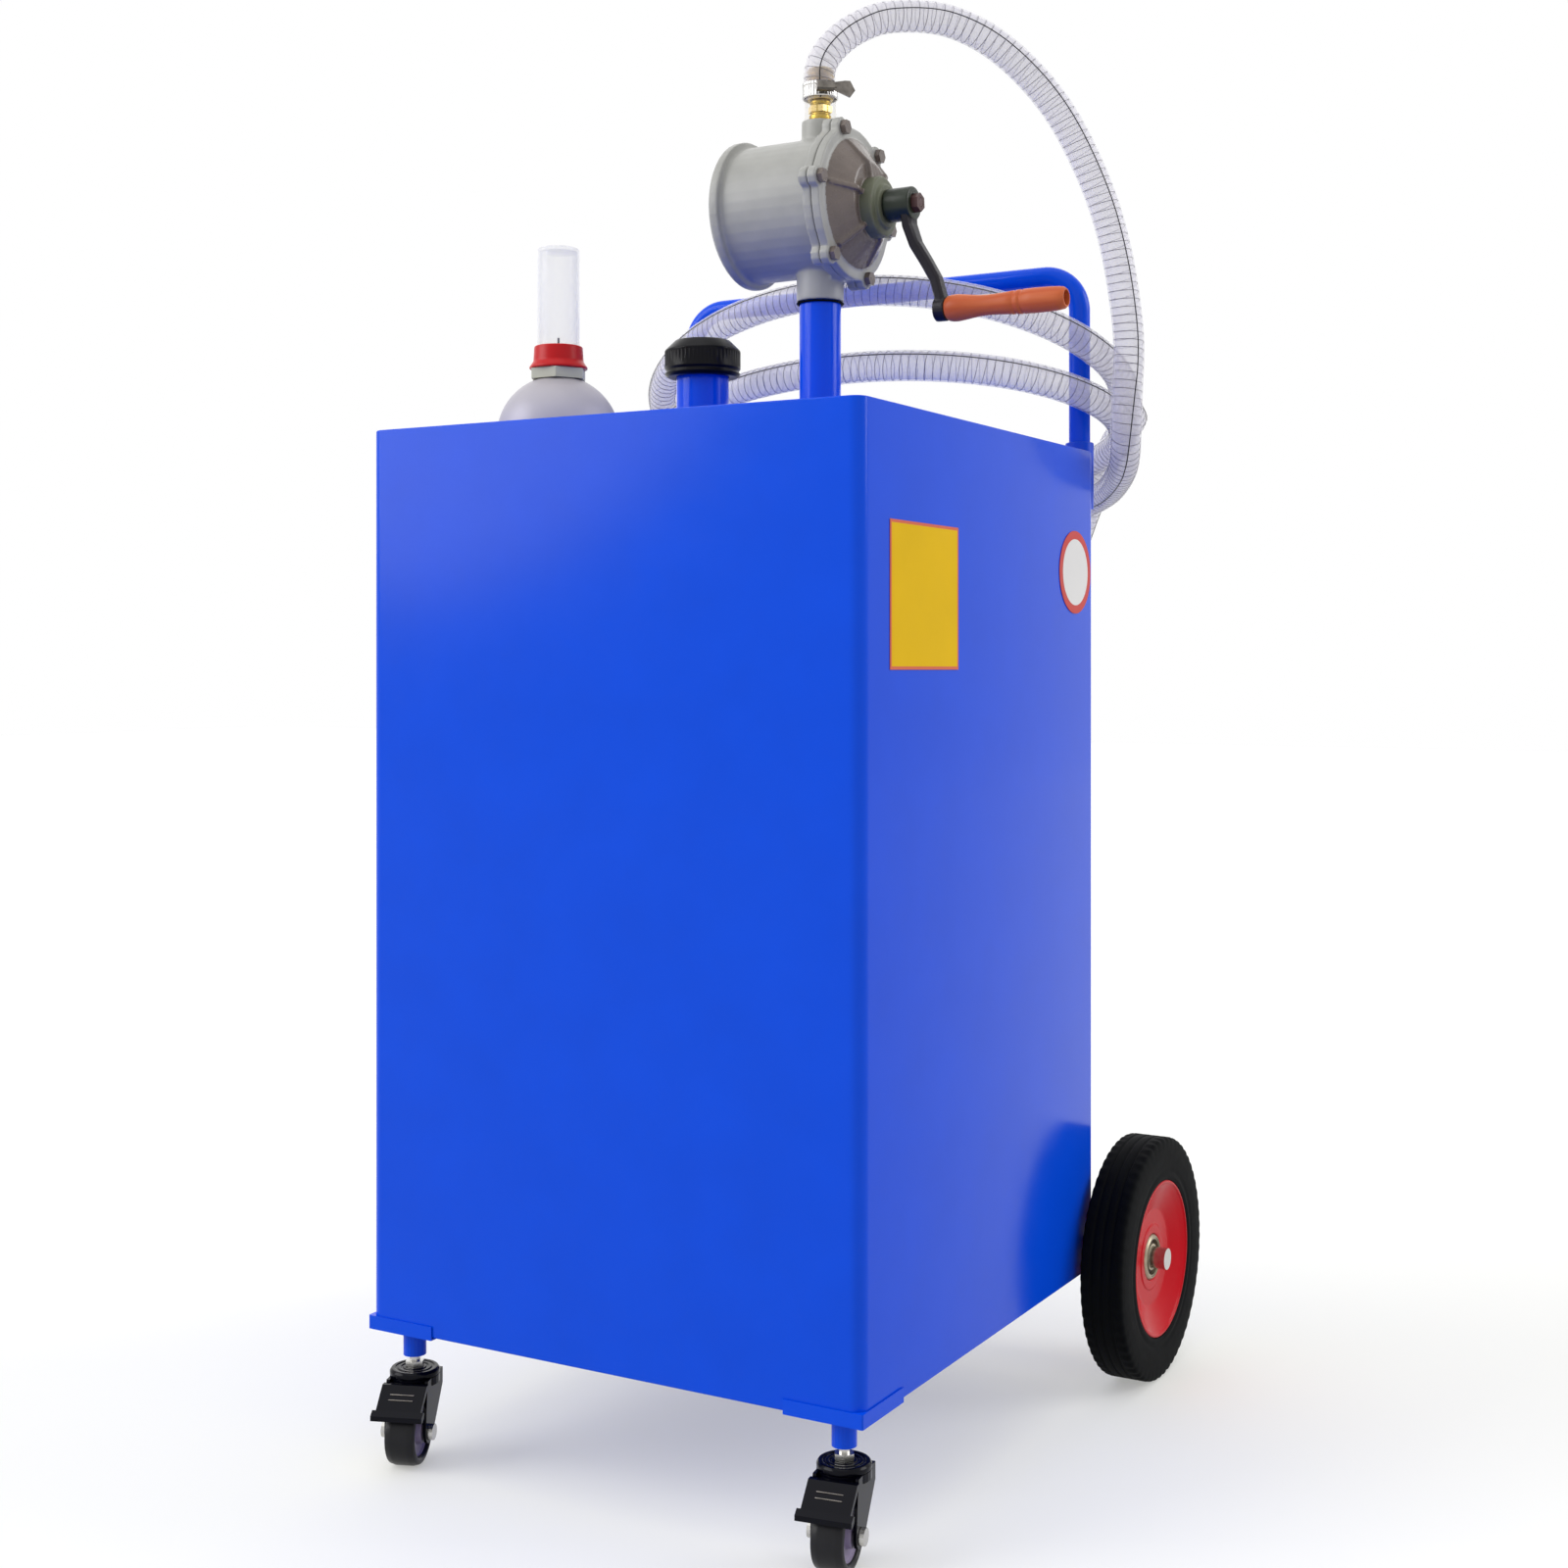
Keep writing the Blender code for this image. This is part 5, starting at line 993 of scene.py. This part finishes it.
class CADDY_OT_crank(bpy.types.Operator):
    """Forged crank arm, its nut, and the turning wooden grip"""

    bl_idname = "caddy.crank"
    bl_label = "Crank"

    def execute(self, context):
        softened_copy("crank_arm_forging", "crank_arm", 0.0006, 3, "forging", "crank")
        self.hub_cover()
        dress("pump_shaft", "shaft_end")
        add_bevel(dress("crank_nut", "shaft_end"), 0.0018, 4)
        dress("grip_pin", "steel")
        self.grip()
        return {"FINISHED"}

    def hub_cover(self):
        """The green hub that clamps the arm on the shaft."""
        start, end = 0.0009, 0.0232
        bore, outside = 0.0076, 0.0131
        outline = [(bore, start), (outside, start), (outside, end), (bore, end)]
        turned(
            "crank_hub_sleeve", outline, crank_matrix(), "green_sleeve", body="crank",
            sides=64, smooth_angle=35, easing=0.0016,
        )

    def grip(self):
        low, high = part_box("crank_grip")
        length = high[0] - low[0]
        eye = Matrix.Translation((0, 0, -CRANK_LENGTH))
        tilt = Matrix.Rotation(CRANK_TILT, 4, "X")
        base = Matrix.Translation((0, PUMP[1], PUMP[2])) @ tilt @ eye
        matrix = Matrix.Translation((low[0], 0, 0)) @ base @ LAID_ALONG_X
        shares = (
            (0.0, 0.62), (0.0, 0.80), (0.02, 0.93), (0.05, 0.99), (0.09, 1.0), (0.14, 0.95),
            (0.20, 0.87), (0.27, 0.79), (0.35, 0.75), (0.43, 0.77), (0.51, 0.82), (0.570, 0.87),
            (0.576, 0.83), (0.590, 0.825), (0.597, 0.88), (0.628, 0.90), (0.634, 0.85), (0.650, 0.845),
            (0.657, 0.905), (0.75, 0.915), (0.86, 0.90), (0.94, 0.86), (0.98, 0.80), (1.0, 0.66),
        )
        radius = 0.0105
        bore, recess, recess_depth = 0.0043, 0.0060, 0.020
        outline = [(bore, 0)]
        outline += [(radius * r, length * s) for s, r in shares]
        outline += [(recess, length), (recess, length - recess_depth), (bore, length - recess_depth)]
        turned("crank_grip_turned", outline, matrix, "wood", "crank_grip", "crank_grip", 64)


class CADDY_OT_outlet(bpy.types.Operator):
    """Brass hose fitting and the hose clamp with its key"""

    bl_idname = "caddy.outlet"
    bl_label = "Outlet"

    def execute(self, context):
        self.fitting()
        matrix, height = stood("outlet_clamp_band", *PUMP[:2])
        inner, outer, groove = 0.01335, 0.01445, 0.0003
        waist = outer - groove
        outline = [
            (inner, 0), (outer, 0), (outer, height * 0.18), (waist, height * 0.22),
            (waist, height * 0.78), (outer, height * 0.82), (outer, height), (inner, height),
        ]

        def slots(k, step):
            return groove if step % 4 == 0 else 0

        turned(
            "clamp_band_slotted", outline, matrix, "bright_steel", "outlet_clamp_band",
            sides=128, smooth_angle=35, wobble=slots, easing=0.0003, easing_steps=2,
        )
        add_bevel(dress("outlet_clamp_screw", "nickel"), 0.0006)
        self.stem()
        return {"FINISHED"}

    def fitting(self):
        """Brass fitting: a round foot, a groove, a hexagon and a neck, under the hose's clear end."""
        matrix, top = stood("outlet_barb", *PUMP[:2])
        outline = [
            (0.0062, 0), (0.0090, 0), (0.0090, 0.0046), (0.0079, 0.0050), (0.0079, 0.0064),
            (0.0086, 0.0066), (0.0086, 0.0124), (0.0080, 0.0128), (0.0080, 0.0136),
            (0.0084, 0.0140), (0.0084, top), (0.0062, top),
        ]
        turned(
            "outlet_fitting_turned", outline, matrix, "brass", "outlet_barb",
            sides=64, easing=0.0004, easing_steps=2,
        )
        # The hexagon takes the paler brass, a painted highlight on its flats; it is the same brass as
        # the rest of the fitting.
        hexagon = [(0.0087, 0.0066), (0.0099, 0.0070), (0.0099, 0.0120), (0.0087, 0.0124)]
        place = matrix @ Matrix.Rotation(math.radians(12), 4, "Z")
        turned("outlet_fitting_hexagon", hexagon, place, "brass_painted_highlight", sides=6, smooth_angle=20)
        wall = [(0.0124, 0.0012), (0.0130, 0.0010), (0.0130, top), (0.0124, top)]
        turned(
            "hose_clear_end", wall, matrix, "clear_end",
            sides=64, smooth_angle=35, easing=0.0002, easing_steps=2,
        )

    def stem(self):
        """Ridged stem of the fitting inside the clear hose."""
        start, ridges, step = HOSE_START[2], 6, 0.0042
        outline = [(0.0080, start)]
        for k in range(ridges):
            base = start + k * step
            outline += [(0.0098, base), (0.0112, base + step * 0.55), (0.0098, base + step * 0.9)]
        outline += [(0.0098, start + ridges * step), (0.0080, start + ridges * step)]
        matrix = Matrix.Translation((PUMP[0], PUMP[1], 0))
        turned("outlet_barb_stem", outline, matrix, "brass", sides=48, smooth_angle=30)


# Handle, corner mounts and casters


class CADDY_OT_handle(bpy.types.Operator):
    """Bent tube handle and the two sockets it stands in"""

    bl_idname = "caddy.handle"
    bl_label = "Handle"

    def execute(self, context):
        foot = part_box("push_handle")[0][2]
        corner = (HANDLE_X - HANDLE_BEND, HANDLE_TOP - HANDLE_BEND)
        arc = []
        for k in range(25):
            angle = math.pi / 2 * k / 24
            x = corner[0] + HANDLE_BEND * math.cos(angle)
            z = corner[1] + HANDLE_BEND * math.sin(angle)
            arc.append((x, HANDLE_Y, z))
        points = [(HANDLE_X, HANDLE_Y, foot), *arc]
        points += [(-x, y, z) for x, y, z in reversed(points)]
        item = tube("push_handle_tube", points, HANDLE_TUBE_RADIUS, 32, finish("paint_tube"))
        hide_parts("push_handle")
        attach(item, "caddy")
        for side, sign in SIDES:
            node = f"handle_socket_{side}"
            matrix, height = stood(node, sign * HANDLE_X, HANDLE_Y)
            outline = [
                (0, 0), (0.0118, 0), (0.0120, 0.0006), (0.0120, height - 0.0008),
                (0.0112, height), (0.0093, height), (0.0093, 0.004), (0, 0.004),
            ]
            turned(
                f"{node}_cup", outline, matrix, "paint_shade", node,
                sides=48, smooth_angle=35, easing=0.0004, easing_steps=2,
            )
        return {"FINISHED"}


def caster_matrix(side, sign):
    turn = Matrix.Rotation(CASTER_HEADINGS[side], 4, "Z")
    return Matrix.Translation((sign * CASTER_X, CASTER_Y, 0)) @ turn


class CADDY_OT_casters(bpy.types.Operator):
    """Corner cups, swivel races, forks, wheels and brake pedals"""

    bl_idname = "caddy.casters"
    bl_label = "Casters"

    def execute(self, context):
        for side, sign in SIDES:
            add_bevel(dress(f"corner_mount_{side}", "paint"), 0.0008)
            self.race(side, sign)
            add_bevel(dress(f"caster_{side}_stud", "steel"), 0.0004)
            add_bevel(dress(f"caster_{side}_fork", "black_metal"), 0.0006)
            dress(f"caster_{side}_axle", "steel")
            self.wheel(side, sign)
            self.brake(side, sign)
        return {"FINISHED"}

    def race(self, side, sign):
        node = f"caster_{side}_race"
        matrix, height = stood(node, sign * CASTER_X, CASTER_Y)
        outline = [
            (0.0043, 0), (0.0190, 0), (0.0190, height * 0.62), (0.0176, height),
            (0.0150, height), (0.0146, height * 0.86), (0.0132, height * 0.86),
            (0.0128, height), (0.0106, height), (0.0102, height * 0.86), (0.0090, height * 0.86),
            (0.0086, height), (0.0043, height),
        ]
        turned(f"{node}_pressing", outline, matrix, "black_metal", node, sides=64, easing=0.0005)

    def wheel(self, side, sign):
        axle = caster_matrix(side, sign) @ Matrix.Translation((0, -CASTER_TRAIL, CASTER_WHEEL_RADIUS))
        matrix = axle @ LAID_ALONG_X
        half = CASTER_WHEEL_HALF
        tread = mirrored(
            [(0.0182, -half * 0.82), (0.0205, -half), (0.0238, -half * 0.92), (0.0250, -half * 0.55)]
        )
        node = f"caster_{side}_wheel"
        turned(f"caster_{side}_tread", tread, matrix, "caster_tread", node, node, easing=0.0010)
        cap, web = -half - 0.0002, -half * 0.62
        hub = mirrored(
            [(0.0033, cap), (0.0085, cap), (0.0092, web), (0.0168, web), (0.0181, -half * 0.80)]
        )
        turned(f"caster_{side}_hub", hub, matrix, "caster_hub", body=node, sides=64, easing=0.0008)

    def brake(self, side, sign):
        """Pedal with a rolled lip and grip ridges, on the solid's own outline."""
        node = f"caster_{side}_brake"
        item = dress(node, "black_metal")
        add_bevel(item, 0.0008)
        builder = bmesh.new()
        out, height = BRAKE_PIVOT
        local = caster_matrix(side, sign) @ Matrix.Translation((0, -out, height))
        start, end = Vector(BRAKE_PLATE[0]), Vector(BRAKE_PLATE[1])
        slope = math.atan2(end.y - start.y, end.x - start.x)
        ridge_low, ridge_high = (-0.0095, -0.0004, -0.0003), (0.0095, 0.0004, 0.0006)
        for share in (0.36, 0.56):
            spot = start.lerp(end, share)
            ridge = local @ Matrix.Translation((0, -spot.x, spot.y))
            ridge = ridge @ Matrix.Rotation(-slope, 4, "X")
            add_box(builder, ridge_low, ridge_high, ridge)
        ridges = link_mesh(f"{node}_ridges", builder, finish("nickel"))
        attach(add_bevel(ridges, 0.0002), node)
        knobs = bmesh.new()
        ball = [(0, -0.0017), (0.0012, -0.0013), (0.0016, -0.0002), (0.0012, 0.0012), (0, 0.0017)]
        knob_out = 0.0058
        for x in (-knob_out, knob_out):
            spot = local @ Matrix.Translation((x, -BRAKE_LIP_KNOB[0], BRAKE_LIP_KNOB[1]))
            add_lathe(knobs, ball, 20, spot)
        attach(link_mesh(f"{node}_knobs", knobs, finish("black_metal")), node)


class CADDY_OT_wheels(bpy.types.Operator):
    """Rear tyres with their tread, dished rims, ball-bearing hubs, axle and brackets"""

    bl_idname = "caddy.wheels"
    bl_label = "Rear wheels"

    def execute(self, context):
        for side, sign in SIDES:
            matrix = Matrix.Translation((sign * WHEEL_X, AXLE_Y, WHEEL_RADIUS))
            matrix = matrix @ Matrix.Rotation(sign * math.pi / 2, 4, "Y")
            self.tyre(side, matrix)
            self.rim(side, matrix)
            self.hub(side, matrix)
            add_bevel(dress(f"axle_bracket_{side}", "paint_shade"), 0.0006)
        dress("rear_axle", "steel")
        return {"FINISHED"}

    def tyre(self, side, matrix):
        half, bead, groove_floor = 0.019, 0.0658, 0.1009
        shoulder_radius, shoulder_start, tread_depth = 0.0940, half * 0.60, 0.0009
        wall = [
            (bead, half * 0.94), (0.0690, half * 0.99), (0.0730, half * 0.95),
            (0.0765, half * 0.985), (0.0860, half), (0.0945, half * 0.985), (0.0990, half * 0.955),
            (0.1008, half * 0.90), (WHEEL_RADIUS, half * 0.80),
        ]
        grooves = []
        for centre in (0.42, 0.0, -0.42):
            edge, floor = half * (centre + 0.07), half * (centre + 0.05)
            other_floor, other_edge = half * (centre - 0.05), half * (centre - 0.07)
            grooves += [(WHEEL_RADIUS, edge), (groove_floor, floor)]
            grooves += [(groove_floor, other_floor), (WHEEL_RADIUS, other_edge)]
        outline = [*wall, *grooves, *((r, -h) for r, h in reversed(wall))]
        outline = rounded([(r, -h) for r, h in outline], 0.0008, 2)
        shoulders = {
            k for k, (r, h) in enumerate(outline) if r > shoulder_radius and abs(h) > shoulder_start
        }

        def tread(k, step):
            return tread_depth if k in shoulders and step % 4 < 2 else 0

        sides = 4 * look().tread_blocks
        turned(
            f"tyre_{side}_treaded", outline, matrix, "tyre", f"tyre_{side}", f"rear_wheel_{side}",
            sides=sides, smooth_angle=40, wobble=tread,
        )

    def rim(self, side, matrix):
        half = 0.01786
        face, sheet = half * 0.45, 0.003
        outline = [
            (0.0655, -half), (0.0655, half - 0.0006), (0.0648, half), (0.0634, half),
            (0.0622, half - 0.0012), (0.0560, half - 0.0040), (0.0420, face + 0.0006),
            (0.0400, face), (0.0280, face), (0.0270, face + 0.0007), (0.0193, face + 0.0007),
            (0.0193, face - sheet), (0.0400, face - sheet), (0.0618, half - 2 * sheet),
            (0.0625, -half),
        ]
        turned(
            f"rim_{side}_dish", outline, matrix, "rim", f"rim_{side}", f"rear_wheel_{side}",
            sides=96, easing=0.0016, easing_steps=4,
        )

    def hub(self, side, matrix):
        """Hub tube with a bearing let into each end: steel races round a dark seal."""
        end = BEARING_HALF
        barrel = mirrored([(0.0165, end), (0.0172, end), (0.0190, end - 0.0016)])
        wheel = f"rear_wheel_{side}"
        turned(
            f"hub_{side}_barrel", barrel, matrix, "worn_steel", f"hub_{side}", wheel,
            easing=0.0006, easing_steps=2,
        )
        for part, inner, outer, sink, key in (
            ("outer_race", 0.0150, 0.0165, 0.0006, "worn_steel"),
            ("seal", 0.0112, 0.0150, 0.0030, "seal_brown"),
            ("inner_race", 0.0093, 0.0112, 0.0010, "worn_steel"),
        ):
            depth = end - sink
            ring = mirrored([(inner, -depth), (outer, -depth)])
            turned(
                f"bearing_{side}_{part}", ring, matrix, key, body=wheel,
                sides=64, easing=0.0004, easing_steps=2,
            )


class CADDY_OT_stickers(bpy.types.Operator):
    """Blank yellow panel with an orange edge, and a white disc with a red ring"""

    bl_idname = "caddy.stickers"
    bl_label = "Stickers"

    def execute(self, context):
        face = TANK_WIDTH / 2 + STICKER_GAP
        low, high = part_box("panel_sticker")
        self.plate("panel_sticker_film", "panel_sticker", low, high, 0, "orange_film", FILM_THICK)
        self.plate("panel_sticker_face", None, low, high, PANEL_EDGE, "yellow_film", FACE_THICK)
        low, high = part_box("round_sticker")
        centre = Vector((face, (low[1] + high[1]) / 2, (low[2] + high[2]) / 2))
        radius = (high[1] - low[1]) / 2
        inner = radius * DISC_FACE_SHARE
        self.disc("round_sticker_film", "round_sticker", centre, radius, FILM_THICK, "red_film")
        self.disc("round_sticker_face", None, centre, inner, FACE_THICK, "white_film")
        return {"FINISHED"}

    def plate(self, name, node, low, high, inset, key, thick):
        face = TANK_WIDTH / 2 + STICKER_GAP
        builder = bmesh.new()
        near = (face, low[1] + inset, low[2] + inset)
        far = (face + thick, high[1] - inset, high[2] - inset)
        add_box(builder, near, far, Matrix.Identity(4))
        item = link_mesh(name, builder, finish(key))
        if node:
            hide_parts(node)
        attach(item, "caddy")

    def disc(self, name, node, centre, radius, thick, key):
        matrix = Matrix.Translation(centre) @ LAID_ALONG_X
        outline = [(0, 0), (radius, 0), (radius, thick), (0, thick)]
        turned(name, outline, matrix, key, node, smooth_angle=35)


# The stage


class CADDY_OT_stage(bpy.types.Operator):
    """Camera at the photograph's place, pale floor and soft lamps"""

    bl_idname = "caddy.stage"
    bl_label = "Stage"

    def execute(self, context):
        self.camera(context)
        self.floor()
        self.world(context)
        for lamp in LAMPS:
            self.lamp(*lamp)
        context.scene.cycles.transparent_max_bounces = CLEAR_LAYERS
        context.scene.view_settings.view_transform = "Standard"
        return {"FINISHED"}

    def camera(self, context):
        data = bpy.data.cameras.new("photo_camera")
        data.sensor_width = SENSOR_WIDTH
        data.lens = CAMERA_LENS
        data.shift_y = CAMERA_SHIFT
        data.clip_end = CAMERA_REACH
        camera = link_object("photo_camera", data)
        camera.location = CAMERA_PLACE
        camera.rotation_euler = (math.pi / 2, 0, CAMERA_HEADING)
        context.scene.camera = camera

    def floor(self):
        builder = bmesh.new()
        corners = [(x * FLOOR_REACH, y * FLOOR_REACH) for x, y in ((-1, -1), (1, -1), (1, 1), (-1, 1))]
        builder.faces.new([builder.verts.new((x, y, 0)) for x, y in corners])
        material, tree, shader = new_shader("pale_floor")
        cloud = noise(tree, 2)
        colours = {
            "Factor": self.seen_directly(tree),
            "A": ramp(tree, cloud, (0.44, 0.44, 0.45), (0.46, 0.46, 0.47)),
            "B": ramp(tree, cloud, (0.62, 0.62, 0.60), (0.63, 0.63, 0.61)),
        }
        mix = add_node(tree, "ShaderNodeMix", colours, data_type="RGBA")
        seen = {0: self.seen_directly(tree), 1: FLOOR_GLOW}
        glow = add_node(tree, "ShaderNodeMath", seen, operation="MULTIPLY")
        inputs = {
            "Base Color": mix.outputs["Result"],
            "Roughness": span(tree, cloud, 0.75, 0.85),
            "Specular IOR Level": 0.1,
            "Emission Color": (1, 1, 0.97, 1),
            "Emission Strength": glow.outputs[0],
            "Normal": bump(tree, noise(tree, 200), strength=0.05, distance=0.0001),
        }
        fill(tree, shader, inputs)
        item = link_mesh("floor", builder, material)

    def world(self, context):
        world = bpy.data.worlds.new("soft_studio")
        world.use_nodes = True
        tree = world.node_tree
        tree.nodes.clear()
        mix = add_node(tree, "ShaderNodeMixShader", {0: self.seen_directly(tree)})
        for place, strength in ((1, WORLD_STRENGTH), (2, 1)):
            light = {"Color": (1, 1, 1, 1), "Strength": strength}
            background = add_node(tree, "ShaderNodeBackground", light)
            fill(tree, mix, {place: background.outputs[0]})
        add_node(tree, "ShaderNodeOutputWorld", {"Surface": mix.outputs[0]})
        context.scene.world = world

    def seen_directly(self, tree):
        """One where the camera sees the surface, straight, mirrored or through a clear part."""
        rays = add_node(tree, "ShaderNodeLightPath").outputs
        seen = rays["Is Camera Ray"]
        for kind in ("Is Glossy Ray", "Is Transmission Ray"):
            either = {0: seen, 1: rays[kind]}
            seen = add_node(tree, "ShaderNodeMath", either, operation="MAXIMUM").outputs[0]
        return seen

    def lamp(self, name, heading, height, spread, strength):
        """Wide far light, even over the whole floor; heading counts from the front to the right."""
        data = bpy.data.lights.new(name, "SUN")
        data.angle = math.radians(spread)
        data.energy = strength
        lamp = link_object(name, data)
        turn, lift = math.radians(heading), math.radians(height)
        place = Vector(
            (math.sin(turn) * math.cos(lift), -math.cos(turn) * math.cos(lift), math.sin(lift))
        )
        lamp.location = place * LAMP_DISTANCE
        lamp.rotation_euler = (-place).to_track_quat("-Z", "Y").to_euler()


class CADDY_PT_looks(bpy.types.Panel):
    """Sidebar panel with the looks' settings and steps"""

    bl_idname = "CADDY_PT_looks"
    bl_label = "Fuel caddy"
    bl_space_type = "VIEW_3D"
    bl_region_type = "UI"
    bl_category = "Fuel caddy"

    def draw(self, context):
        settings = look()
        for name in settings.__annotations__:
            self.layout.prop(settings, name)
        for step in STEPS:
            self.layout.operator(step.bl_idname)


STEPS = (
    CADDY_OT_stage,
    CADDY_OT_hose,
    CADDY_OT_tank,
    CADDY_OT_filler,
    CADDY_OT_gauge,
    CADDY_OT_pump,
    CADDY_OT_crank,
    CADDY_OT_outlet,
    CADDY_OT_handle,
    CADDY_OT_casters,
    CADDY_OT_wheels,
    CADDY_OT_stickers,
)
CLASSES = (CaddyLook, *STEPS, CADDY_PT_looks)


def register():
    for item in CLASSES:
        bpy.utils.register_class(item)
    bpy.types.Scene.caddy_look = bpy.props.PointerProperty(type=CaddyLook)


def unregister():
    del bpy.types.Scene.caddy_look
    for item in reversed(CLASSES):
        bpy.utils.unregister_class(item)


def main():
    register()
    for step in STEPS:
        group, name = step.bl_idname.split(".")
        getattr(getattr(bpy.ops, group), name)()


if __name__ == "__main__":
    main()
